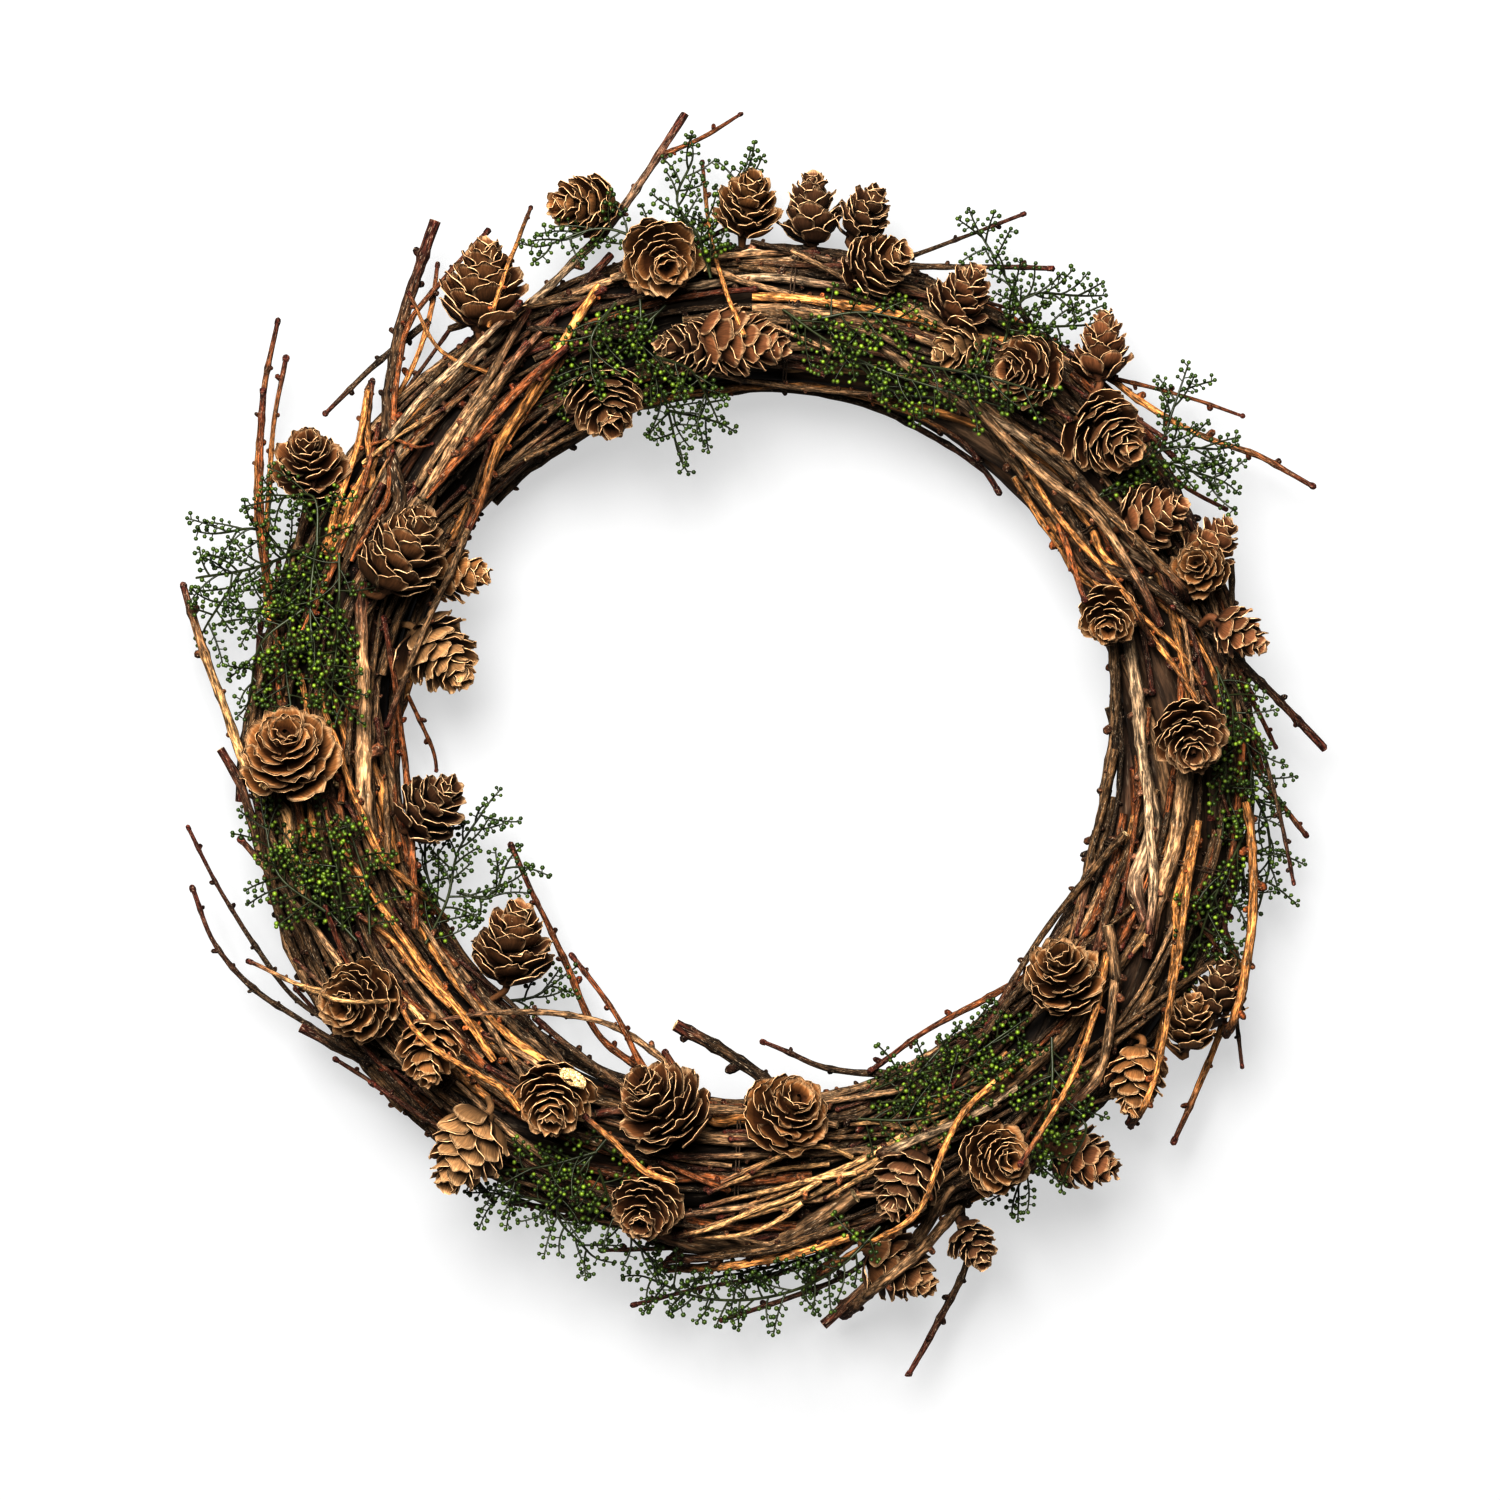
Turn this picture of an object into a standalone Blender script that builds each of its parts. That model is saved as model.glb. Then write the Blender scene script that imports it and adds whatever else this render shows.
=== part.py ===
"""A wreath of larch twigs, larch cones and small-berried greenery, tied round a hoop of twisted stems.

Metres, +Z up. The wreath lies on its back on the surface z = 0 and shows its face to +Z. Places round it are
given as an angle in degrees, counted from +X towards +Y, and a distance from the hoop's centre in millimetres.
"""

import math
import random

import bmesh
import bpy
import numpy as np
from mathutils import Vector
from mathutils.bvhtree import BVHTree

MM = 0.001
SEED = 11
WELD = 1e-6

# Hoop: stems twisted together. Their crests and the grooves between them follow the edges of the mesh.
HOOP_RADIUS = 0.1120
HOOP_HEIGHT = 0.0159
STEM_COUNT = 8
STEM_TURNS = 2
HOOP_WIDEST = 0.0165
STEM_GROOVE = 0.0017
HOOP_SEGMENTS = 32
TABLE_DEPTH = 0.02

# Twigs: the clear gap to anything else, their taper from butt to tip and the swelling at every other bend
GAP = 0.00035
TIP_TAPER = 0.58
THINNEST = 0.00046
THIN_TWIG = 0.0011
KNOT = 0.10
BEND_SPACING = 0.0170

# Laying: how routes are sampled, how steep and how high they may get, and how far one round lifts them
SAMPLE_SPACING = 0.0015
NEARBY = 0.02
STEEPEST = 0.45
STEEPEST_CLIMB = 0.85
HIGHEST = 0.056
LOWEST = 0.0025
SETTLE_ROUNDS = 90
LEAST_LIFT, MOST_LIFT = 0.0001, 0.0009
SPARE_LIFT = 0.00005

# Binding wires, and the lanes in which they hold their twigs
WIRE_RADIUS = 0.0007
WIRE_RHO = 0.0183
WIRE_FROM, WIRE_TO, WIRE_POINTS = -35, 215, 10
LANE_FROM, LANE_TO = 6, 174
LANE_SLACK = 0.0003
BIND_SPAN = 5
BIND_EASE = 11
BIND_FREE = 0.024
LEAD_IN = 1
LATE_START = 2
KEPT_STRAIGHT = 0.7

# Cones: tiers of scales on a tapered body. The shares are of the length, the widths of the widest radius.
CONE_SEAT = 0.0196
CONE_SHARES = (0, 0.12, 0.35, 0.6, 0.8, 1)
CONE_WIDTHS = (0.62, 0.92, 1.0, 0.86, 0.6, 0.16)
CONE_SCALES = 5
LONG_CONE = 0.0228
LONG_TIERS, SHORT_TIERS = 5, 4
CONE_FOOT = 0.42
SCALE_NOTCH = 0.80
SCALE_ROOT = 0.56
LAST_ROOT = 0.36
SCALE_LEAN = 0.62
TIP_LEAN = 0.5
NOTCH_LEAN = 0.62
ROOT_PLACE = 0.93
SCALE_DRAW = 0.94
STALK_RADIUS = 0.0009
STALK_TIP = 0.0006
STALK_IN = 0.12
JOINT_RADIUS = 0.00145

# Finding room for the cones
BULK_SHARES = np.array((0.16, 0.36, 0.58, 0.78, 0.92))
BULK_SIDES = 7
BULK_OUT = 0.62
BULK_BALL = 0.40
LEAST_RISE = 0.004
PUSH_ROUNDS = 80
PUSH_SHARE = 0.55
PUSH_UP = 0.5
PUSH_REACH = 0.05
CONE_LIFT = 0.0003
CONE_LIFTS = 120

# Greenery: stems with sprigs to both sides by turns, and two berries on each sprig
STEM_RADIUS = 0.00046
STEM_BEND = 0.013
BERRY_RADIUS = 0.0011
SPRIG_LENGTH = 0.0085
SPRIG_DRAW = (0.8, 1.15)
SPRIG_SPACING = 0.0120
FIRST_SPRIG = 0.6
SPRIG_SHARES = (0, 0.30, 0.42, 0.54, 0.78, 0.90, 1.0)
SPRIG_BERRIES = (2, 5)
SPRIG_TIP = 0.8
SPRIG_TURN = (35, 75)
SPRIG_RISE = (5, 25)
SPRIG_TRIES = 10
RISE_STEP = 7

COLOURS = {
    "hoop": ((0.060, 0.036, 0.022), 0.75),
    "twigs": ((0.135, 0.062, 0.028), 0.70),
    "cone": ((0.150, 0.072, 0.034), 0.80),
    "greenery": ((0.045, 0.095, 0.018), 0.65),
}

# Twigs by the bundle that ties them, with the angle of its wire. Each twig has the thickness of its butt in mm
# and the bends of its route from butt to tip.
BUNDLES = {
    "twig_bundle_1": (150, [
        (3.9, [(155, 116), (141, 128), (135, 137), (126, 151), (121, 161)]),
        (2.1, [(151, 122), (143, 126), (133, 132), (125, 144), (123, 151)]),
        (2.1, [(148, 122), (136, 132), (131, 141), (126, 145), (117, 152)]),
        (2.6, [(139, 123), (121, 126), (109, 137), (103, 146), (96, 167)]),
        (2.9, [(175, 93), (159, 90), (143, 93), (124, 107), (108, 125)]),
        (2.3, [(147, 96), (130, 101), (117, 111), (111, 118)]),
        (2.6, [(143, 111), (131, 113), (115, 123), (106, 134)]),
        (2.6, [(147, 114), (131, 111), (118, 121), (114, 124)]),
        (2.3, [(155, 122), (146, 125), (136, 139)]),
    ]),
    "twig_bundle_2": (193, [
        (2.3, [(179, 120), (163, 132), (154, 144), (144, 158), (138, 167)]),
        (2.1, [(172, 118), (165, 130), (157, 138), (144, 154), (140, 159)]),
        (3.1, [(199, 119), (191, 124), (180, 134), (168, 149), (164, 155)]),
        (2.1, [(186, 131), (176, 131), (167, 131)]),
        (2.6, [(200, 99), (188, 100), (173, 104), (163, 110)]),
        (2.1, [(201, 95), (191, 101), (179, 106), (169, 112)]),
        (2.3, [(222, 103), (208, 103), (196, 107), (186, 112)]),
        (4.2, [(196, 104), (172, 102), (157, 110)]),
        (3.1, [(196, 95), (181, 96), (169, 101)]),
    ]),
    "twig_bundle_3": (228, [
        (1.6, [(224, 120), (210, 135), (203, 139), (197, 143), (188, 149)]),
        (2.1, [(225, 123), (217, 131), (205, 146), (199, 150), (194, 151)]),
        (1.8, [(221, 114), (215, 112), (211, 125), (207, 135), (203, 143)]),
        (2.3, [(230, 104), (213, 103), (203, 111)]),
        (2.3, [(235, 112), (225, 115), (216, 117)]),
        (2.6, [(240, 97), (222, 96), (204, 98)]),
        (2.6, [(242, 109), (226, 108), (210, 114)]),
    ]),
    "twig_bundle_4": (268, [
        (2.1, [(272, 92), (259, 85), (247, 80), (228, 92), (219, 115)]),
        (2.3, [(247, 88), (240, 83), (225, 72), (213, 69), (202, 68)]),
        (2.3, [(254, 88), (243, 78), (229, 72)]),
        (2.9, [(276, 89), (263, 79), (254, 75)]),
        (2.6, [(281, 129), (266, 134), (260, 140)]),
        (4.7, [(283, 119), (268, 129), (256, 129)]),
        (2.6, [(281, 103), (262, 103), (244, 105)]),
        (2.6, [(278, 112), (258, 115), (240, 121)]),
    ]),
    "twig_bundle_5": (300, [
        (2.1, [(289, 113), (278, 105), (264, 115)]),
        (2.1, [(290, 112), (277, 114), (266, 122)]),
        (2.1, [(286, 113), (276, 118), (261, 128)]),
        (3.1, [(297, 127), (287, 138), (277, 152)]),
        (2.1, [(310, 107), (302, 107), (292, 121), (281, 133), (276, 140)]),
        (2.1, [(308, 112), (293, 107), (284, 109)]),
        (1.8, [(288, 128), (274, 137), (263, 143), (258, 149)]),
        (2.1, [(290, 130), (280, 140), (267, 150)]),
        (2.6, [(307, 123), (299, 137), (290, 156), (284, 171)]),
        (2.1, [(290, 90), (281, 83), (272, 77)]),
    ]),
    "twig_bundle_6": (345, [
        (2.6, [(350, 127), (337, 139), (328, 144), (317, 151)]),
        (2.3, [(352, 116), (336, 121), (323, 132), (315, 139)]),
        (1.8, [(335, 102), (320, 113), (302, 127)]),
        (2.3, [(332, 100), (312, 89), (298, 87), (290, 90)]),
        (3.1, [(377, 98), (364, 95), (354, 92), (336, 95), (330, 97)]),
        (3.6, [(378, 102), (365, 101), (349, 104), (335, 113)]),
        (3.1, [(366, 114), (348, 112), (332, 116)]),
        (1.6, [(351, 120), (343, 124), (336, 135)]),
    ]),
    "twig_bundle_7": (33, [
        (2.1, [(46, 100), (34, 99), (20, 106), (7, 115), (0, 123)]),
        (2.1, [(29, 105), (15, 113), (5, 121)]),
        (2.1, [(27, 107), (14, 119), (1, 126), (-9, 147)]),
        (1.8, [(24, 110), (13, 124), (0, 137)]),
        (2.6, [(39, 102), (21, 115), (10, 129), (0, 150)]),
        (2.6, [(72, 109), (55, 104), (36, 104), (23, 109)]),
        (2.6, [(59, 105), (43, 108), (24, 114), (18, 123)]),
    ]),
    "twig_bundle_8": (85, [
        (2.6, [(91, 116), (77, 117), (63, 118), (58, 121)]),
        (2.6, [(70, 119), (62, 121), (50, 133), (38, 139), (29, 155), (25, 162)]),
        (1.6, [(80, 127), (72, 136), (63, 157)]),
        (2.1, [(80, 128), (67, 137), (58, 148)]),
        (2.6, [(103, 126), (89, 127), (78, 132)]),
        (2.3, [(101, 121), (86, 122), (77, 123)]),
        (2.1, [(85, 113), (73, 112), (64, 107)]),
    ]),
}

# Side shoots, by bundle and the number of the twig that each grows from. The first bend lies on that twig.
SHOOTS = [
    ("twig_bundle_1", 3, 1.6, [(99, 157), (95, 160), (91, 166)]),
    ("twig_bundle_1", 1, 2.0, [(127, 141), (135, 141), (142, 142)]),
    ("twig_bundle_1", 6, 1.3, [(124, 117), (128, 131), (127, 148)]),
    ("twig_bundle_6", 0, 1.3, [(337, 139), (332, 144), (327, 153)]),
    ("twig_bundle_7", 3, 1.6, [(13, 124), (358, 134), (346, 145)]),
    ("twig_bundle_8", 1, 1.3, [(46, 134), (42, 141), (34, 155)]),
]

# Cones by node. Each has the angle and distance of its middle, the way its tip points in the plane of the wreath,
# how far the tip lifts from that plane, its widest radius in mm and its length in mm.
CONES = {
    "cone_01": [(147, 137, 90, 50, 9.9, 22)],
    "cone_02": [(120, 139, 85, 15, 11.6, 25)],
    "cone_03": [(107, 146, 180, 35, 8.8, 22)],
    "cone_04": [(101, 130, -60, 70, 11.0, 22)],
    "cone_05": [(90, 142, 80, 35, 8.8, 20)],
    "cone_pair_06": [(84, 142, 90, 12, 8.3, 20), (78, 143, 60, 22, 7.5, 17)],
    "cone_07": [(75, 130, 25, 40, 8.8, 20)],
    "cone_pair_08": [(91, 105, -10, 15, 9.7, 25), (99, 105, 180, 25, 8.5, 20)],
    "cone_09": [(113, 97, -75, 35, 10.6, 23)],
    "cone_pair_10": [(65, 130, 60, 25, 8.0, 19), (62, 116, 200, 30, 7.0, 16)],
    "cone_11": [(53, 119, 180, 55, 10.0, 21)],
    "cone_12": [(43, 122, -35, 45, 10.8, 23)],
    "cone_13": [(49, 139, 85, 5, 7.7, 19)],
    "cone_14": [(30, 120, 20, 25, 9.0, 20)],
    "cone_pair_15": [(24, 131, 50, 10, 7.5, 17), (22, 125, 150, 72, 7.8, 16)],
    "cone_16": [(13, 130, -30, 8, 7.0, 16)],
    "cone_17": [(20, 98, -100, 60, 8.3, 18)],
    "cone_18": [(1, 113, -80, 60, 9.5, 21)],
    "cone_19": [(-36, 99, 95, 50, 10.5, 22)],
    "cone_pair_20": [(-32, 134, 80, 30, 7.5, 18), (-27, 137, 75, 10, 7.5, 17)],
    "cone_21": [(-41, 132, -100, 20, 8.5, 20)],
    "cone_22": [(-51, 138, -20, 12, 9.0, 20)],
    "cone_23": [(-61, 122, 0, 65, 9.7, 21)],
    "cone_24": [(-69, 121, -120, 25, 9.3, 21)],
    "cone_pair_25": [(-74, 141, -30, 15, 9.3, 22), (-66, 142, -60, 30, 6.7, 15)],
    "cone_26": [(-84, 94, 60, 55, 11.3, 22)],
    "cone_27": [(-105, 95, 125, 40, 12.0, 26)],
    "cone_28": [(-103, 122, -110, 60, 9.5, 20)],
    "cone_29": [(-120, 106, -95, 55, 10.5, 22)],
    "cone_30": [(-125, 127, -120, 14, 10.8, 24)],
    "cone_31": [(-137, 115, -95, 30, 8.7, 19)],
    "cone_32": [(-147, 121, 200, 65, 11.0, 22)],
    "cone_33": [(-141, 80, 80, 20, 11.2, 24)],
    "cone_34": [(190, 84, 45, 30, 9.2, 21)],
    "cone_35": [(180, 120, 90, 60, 12.5, 24)],
    "cone_36": [(163, 84, -45, 20, 10.6, 22)],
    "cone_pair_37": [(150, 103, 60, 25, 11.3, 27), (150, 88, 0, 10, 8.0, 18)],
}

# Sprays of greenery: the routes of their stems from the root outwards. A second route starts on the first.
SPRAYS = {
    "spray_01": [[(95, 122), (96, 134), (98, 146), (96, 153)]],
    "spray_02": [[(104, 120), (105, 108), (106, 99), (103, 90), (104, 80)], [(103, 90), (97, 86)]],
    "spray_03": [[(86, 114), (76, 105), (66, 104), (56, 108)]],
    "spray_04": [[(58, 122), (59, 132), (58, 141), (54, 146)]],
    "spray_05": [[(36, 108), (36, 120), (36, 132), (33, 143)], [(36, 128), (30, 140)]],
    "spray_06": [[(156, 127), (161, 141), (163, 152)], [(161, 141), (167, 146)]],
    "spray_07": [[(153, 126), (161, 121), (169, 115), (174, 106)]],
    "spray_08": [[(206, 114), (199, 119), (192, 122)]],
    "spray_09": [[(211, 99), (206, 88), (198, 80), (193, 72)]],
    "spray_10": [[(250, 106), (248, 118), (247, 130), (252, 138)], [(247, 128), (240, 134)]],
    "spray_11": [[(285, 128), (277, 139), (267, 144), (259, 141)]],
    "spray_12": [[(286, 95), (293, 94), (304, 98), (312, 99)]],
    "spray_13": [[(316, 108), (311, 118), (306, 126), (301, 134)]],
    "spray_14": [[(10, 122), (358, 130), (348, 132), (338, 132)]],
}


def spot(angle, radius):
    """The point in the plane of the wreath at an angle in degrees and a distance in metres."""
    turn = math.radians(angle)
    return np.array((radius * math.cos(turn), radius * math.sin(turn)))


def hoop_radius_at(turn, side):
    """How thick the twisted stems are at an angle round the hoop and one round its section, in radians."""
    phase = (side - STEM_TURNS * turn - math.pi / 2) * STEM_COUNT / (2 * math.pi)
    return HOOP_WIDEST - STEM_GROOVE * 2 * abs(phase - round(phase))


def smooth_through(points, spacing):
    """Points at an even spacing on a Catmull-Rom curve through the given ones."""
    points = np.asarray(points, float)
    ends = np.vstack((2 * points[0] - points[1], points, 2 * points[-1] - points[-2]))
    run = []
    for before, start, end, after in zip(ends, ends[1:], ends[2:], ends[3:]):
        steps = max(2, int(np.linalg.norm(end - start) / spacing))
        for t in np.arange(steps) / steps:
            run.append(0.5 * (2 * start + (end - before) * t
                              + (2 * before - 5 * start + 4 * end - after) * t**2
                              + (3 * start - before - 3 * end + after) * t**3))
    run.append(points[-1])
    return np.array(run)


def along(points):
    """How far each point lies along the line through them."""
    return np.concatenate(([0.0], np.cumsum(np.linalg.norm(np.diff(points, axis=0), axis=1))))


class Laid:
    """What is already laid, as a list of tapered round rods, each from one point to another."""

    def __init__(self):
        self.start = np.zeros((0, 3))
        self.end = np.zeros((0, 3))
        self.start_radius = np.zeros(0)
        self.end_radius = np.zeros(0)
        self.owner = []

    def add(self, points, radii, owner):
        self.start = np.vstack((self.start, points[:-1]))
        self.end = np.vstack((self.end, points[1:]))
        self.start_radius = np.append(self.start_radius, radii[:-1])
        self.end_radius = np.append(self.end_radius, radii[1:])
        self.owner += [owner] * (len(points) - 1)

    def drop(self, owner):
        keep = np.array([other != owner for other in self.owner], bool)
        self.start, self.end = self.start[keep], self.end[keep]
        self.start_radius, self.end_radius = self.start_radius[keep], self.end_radius[keep]
        self.owner = [other for other in self.owner if other != owner]

    def room(self, points, radii, ignore=()):
        """The room of each ball of the given points and radii to the nearest rod, less than 0 inside it."""
        keep = np.array([owner not in ignore for owner in self.owner], bool)
        low = points.min(axis=0) - NEARBY
        high = points.max(axis=0) + NEARBY
        if len(keep):
            keep &= (np.minimum(self.start, self.end) < high).all(axis=1)
            keep &= (np.maximum(self.start, self.end) > low).all(axis=1)
        if not keep.any():
            return np.full(len(points), 1.0)
        start, way = self.start[keep], (self.end - self.start)[keep]
        from_start = points[:, None] - start[None]
        share = (from_start * way).sum(axis=2) / np.maximum((way**2).sum(axis=1), 1e-12)
        share = np.clip(share, 0, 1)
        reach = np.linalg.norm(from_start - share[..., None] * way, axis=2)
        thick = self.start_radius[keep] * (1 - share) + self.end_radius[keep] * share
        return (reach - thick).min(axis=1) - radii


def hoop_room(points, radii):
    """The room of each ball to the widest the hoop gets."""
    out = np.hypot(np.hypot(points[:, 0], points[:, 1]) - HOOP_RADIUS, points[:, 2] - HOOP_HEIGHT)
    return out - HOOP_WIDEST - radii


def draped(points, radii):
    """The height at which a rod of each radius lies on the hoop, and the hoop's own height beside it."""
    off = np.hypot(points[:, 0], points[:, 1]) - HOOP_RADIUS
    reach = HOOP_WIDEST + GAP + radii
    return HOOP_HEIGHT + np.sqrt(np.maximum(reach**2 - off**2, 0))


def ease_slopes(route, held):
    """Lifts the free bends so that the route comes down no faster than the steepest slope."""
    lengths = np.linalg.norm(np.diff(route[:, :2], axis=0), axis=1)
    for order in (range(1, len(route)), range(len(route) - 2, -1, -1)):
        for i in order:
            j = i - 1 if order.step > 0 else i + 1
            least = route[j, 2] - STEEPEST * lengths[min(i, j)]
            if not held[i]:
                route[i, 2] = max(route[i, 2], least)


def sampled(route, radii):
    """Balls at an even spacing along a route, with the number of the bend before each."""
    places = along(route)
    at = np.append(np.arange(0, places[-1], SAMPLE_SPACING), places[-1])
    before = np.clip(np.searchsorted(places, at, side="right") - 1, 0, len(route) - 2)
    points = np.column_stack([np.interp(at, places, route[:, k]) for k in range(3)])
    return points, np.interp(at, places, radii), before


def settle(route, radii, held, laid, ignore=(), ignore_near=(), near=None):
    """Lifts the free bends of a route until it clears what is laid.

    Rods of the owners in ignore_near are let through up to BIND_FREE from the point near, where the twigs of
    one bundle are pressed together. Returns which samples are still too close, and the bend before each.
    """
    ease_slopes(route, held)
    for _ in range(SETTLE_ROUNDS):
        points, thick, before = sampled(route, radii)
        room = np.minimum(laid.room(points, thick, ignore), hoop_room(points, thick))
        if near is not None:
            close = np.linalg.norm(points[:, :2] - near[:2], axis=1) < BIND_FREE
            apart = np.minimum(laid.room(points, thick, ignore_near), hoop_room(points, thick))
            room = np.where(close, apart, room)
        short = room < GAP
        wrong = short | (points[:, 2] - thick < LOWEST)
        if not wrong.any():
            break
        need = np.clip(GAP - room + SPARE_LIFT, LEAST_LIFT, MOST_LIFT)
        lift = np.zeros(len(route))
        np.maximum.at(lift, before[wrong], need[wrong])
        np.maximum.at(lift, before[wrong] + 1, need[wrong])
        route[:, 2] += np.where(held, 0, lift)
        ease_slopes(route, held)
    climb = abs(np.diff(route[:, 2])) / np.linalg.norm(np.diff(route[:, :2], axis=0), axis=1)
    return short | (climb[before] > STEEPEST_CLIMB) | (points[:, 2] > HIGHEST), before


def longest_clear(short, before, bends, keep):
    """The first and last bend of the clear stretch that holds the bend to keep."""
    bad = sorted(set(before[short]))
    first = max([b + 1 for b in bad if b < keep], default=0)
    last = min([b for b in bad if b >= keep], default=bends - 1)
    return first, last


def twig_plan(bends, wire_angle):
    """A twig's route in the plane, led back to its wire where it starts short of it."""
    angles = np.array([b[0] for b in bends], float)
    radii = np.array([b[1] * MM for b in bends])
    angles += 360 * round((wire_angle - angles[0]) / 360)
    back = wire_angle + BIND_SPAN + LEAD_IN
    if angles[0] < back:
        inward = np.clip(radii[0], HOOP_RADIUS - WIRE_RHO, HOOP_RADIUS + WIRE_RHO)
        if angles[0] > wire_angle - LATE_START:
            angles[0] = back
        else:
            angles = np.insert(angles, 0, back)
            radii = np.insert(radii, 0, inward)
    return smooth_through([spot(a, r) for a, r in zip(angles, radii)], SAMPLE_SPACING)


def unwound(plane, near):
    """The angle in degrees and distance of each point. The angles run on from one point to the next."""
    turns = np.degrees(np.unwrap(np.arctan2(plane[:, 1], plane[:, 0])))
    turns += 360 * round((near - turns[0]) / 360)
    return turns, np.hypot(plane[:, 0], plane[:, 1])


def lane_rho(butt):
    """How far a tied twig's middle lies from the middle of the hoop's section."""
    return HOOP_WIDEST + GAP + LANE_SLACK + butt


def lane_step(one, other):
    """The angle in degrees round the hoop's section that keeps two tied twigs clear of each other."""
    a, b = lane_rho(one), lane_rho(other)
    apart = one + other + GAP + LANE_SLACK
    return math.degrees(math.acos((a * a + b * b - apart * apart) / (2 * a * b)))


def spread(sides, thick):
    """Moves neighbours apart round the hoop's section until each has room for its own thickness."""
    order = np.argsort(sides)
    step = [lane_step(thick[a], thick[b]) for a, b in zip(order, order[1:])]
    placed = [max(LANE_FROM, sides[order[0]])]
    for k, gap in zip(order[1:], step):
        placed.append(max(sides[k], placed[-1] + gap))
    limit = LANE_TO
    for i in range(len(placed) - 1, -1, -1):
        placed[i] = min(placed[i], limit)
        if i:
            limit = placed[i] - step[i - 1]
    result = np.empty(len(sides))
    result[order] = placed
    return result


class Twig:
    """One twig: its bends as points, its radius at each, and which bends its wire holds."""

    def __init__(self, wire_angle, thickness, bends):
        self.butt = thickness * MM / 2
        self.wire_angle = wire_angle
        self.plane = twig_plan(bends, wire_angle)
        self.turns, self.radii = unwound(self.plane, wire_angle)
        at = int(np.argmin(abs(self.turns - wire_angle)))
        self.natural = self.radii[at]
        lane = lane_rho(self.butt)
        self.side = math.degrees(math.acos(np.clip((self.natural - HOOP_RADIUS) / lane, -1, 1)))

    def bind(self, side):
        """Leads the route through its place under the wire and sets out its bends."""
        lane = lane_rho(self.butt)
        held_radius = HOOP_RADIUS + lane * math.cos(math.radians(side))
        held_height = HOOP_HEIGHT + lane * math.sin(math.radians(side))
        reach = abs(self.turns - self.wire_angle)
        shift = np.where(reach < BIND_SPAN, 1, np.exp(-(((reach - BIND_SPAN) / BIND_EASE) ** 2)))
        near = reach < BIND_SPAN + KEPT_STRAIGHT
        eased = self.radii + (held_radius - self.natural) * shift
        eased[near] = held_radius
        plane = np.array([spot(a, r) for a, r in zip(self.turns, eased)])
        places = along(plane)
        order = np.argsort(-self.turns)
        stops = [np.interp(-(self.wire_angle + d), -self.turns[order], places[order])
                 for d in (BIND_SPAN, 0, -BIND_SPAN)]
        back = max(0, round(stops[0] / BEND_SPACING))
        ahead = max(1, round((places[-1] - stops[2]) / BEND_SPACING))
        rest = list(np.linspace(stops[2], places[-1], ahead + 1)[1:])
        lead = list(np.linspace(0, stops[0], back + 1)[:-1]) if back else []
        at = np.array(lead + stops + rest)
        self.route = np.column_stack([np.interp(at, places, plane[:, k]) for k in range(2)] + [at * 0])
        share = at / places[-1]
        knots = np.where(np.arange(len(at)) % 2, 1 + KNOT, 1 - KNOT)
        self.thick = np.maximum(self.butt * (1 - (1 - TIP_TAPER) * share) * knots, THINNEST)
        self.hold_at = len(lead) + 1
        self.held = np.arange(len(at)) == self.hold_at
        self.bound = slice(self.hold_at - 1, self.hold_at + 2)
        self.thick[self.bound] = self.butt
        self.route[:, 2] = draped(self.route, self.thick)
        self.route[self.bound, 2] = held_height

    def bound_part(self):
        return self.route[self.bound].copy(), self.thick[self.bound]


def lay_shoot(parent, thickness, bends, laid, key, parent_key):
    """A side shoot that starts inside its parent twig and lies clear of the rest."""
    plane = smooth_through([spot(a, r * MM) for a, r in bends], SAMPLE_SPACING)
    nearest = int(np.argmin(np.linalg.norm(sampled(parent.route, parent.thick)[0][:, :2] - plane[0], axis=1)))
    root = sampled(parent.route, parent.thick)[0][nearest]
    plane = plane - (plane[0] - root[:2]) * np.linspace(1, 0, len(plane))[:, None] ** 2
    places = along(plane)
    count = max(3, round(places[-1] / BEND_SPACING) + 1)
    at = np.linspace(0, places[-1], count)
    route = np.column_stack([np.interp(at, places, plane[:, k]) for k in range(2)] + [at * 0 + root[2]])
    thick = np.maximum(thickness * MM / 2 * np.linspace(1, TIP_TAPER, count), THINNEST)
    held = np.zeros(count, bool)
    held[0] = True
    bundle = tuple(owner for owner in set(laid.owner) if owner[0] == parent_key[0])
    short, before = settle(route, thick, held, laid, (parent_key,), bundle, root)
    if short.any():
        last = longest_clear(short, before, count, 0)[1]
        route, thick = route[:last + 1], thick[:last + 1]
    if len(route) > 1:
        laid.add(route, thick, key)
    return route, thick


def cone_profile(share):
    """How wide a cone is at a share of its length from the base, against its widest."""
    return float(np.interp(share, CONE_SHARES, CONE_WIDTHS))


def cone_axis(heading, lift):
    """The way a cone points, from its heading in the plane of the wreath and its lift out of it."""
    across = math.cos(math.radians(lift))
    return np.array((across * math.cos(math.radians(heading)), across * math.sin(math.radians(heading)),
                     math.sin(math.radians(lift))))


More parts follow.
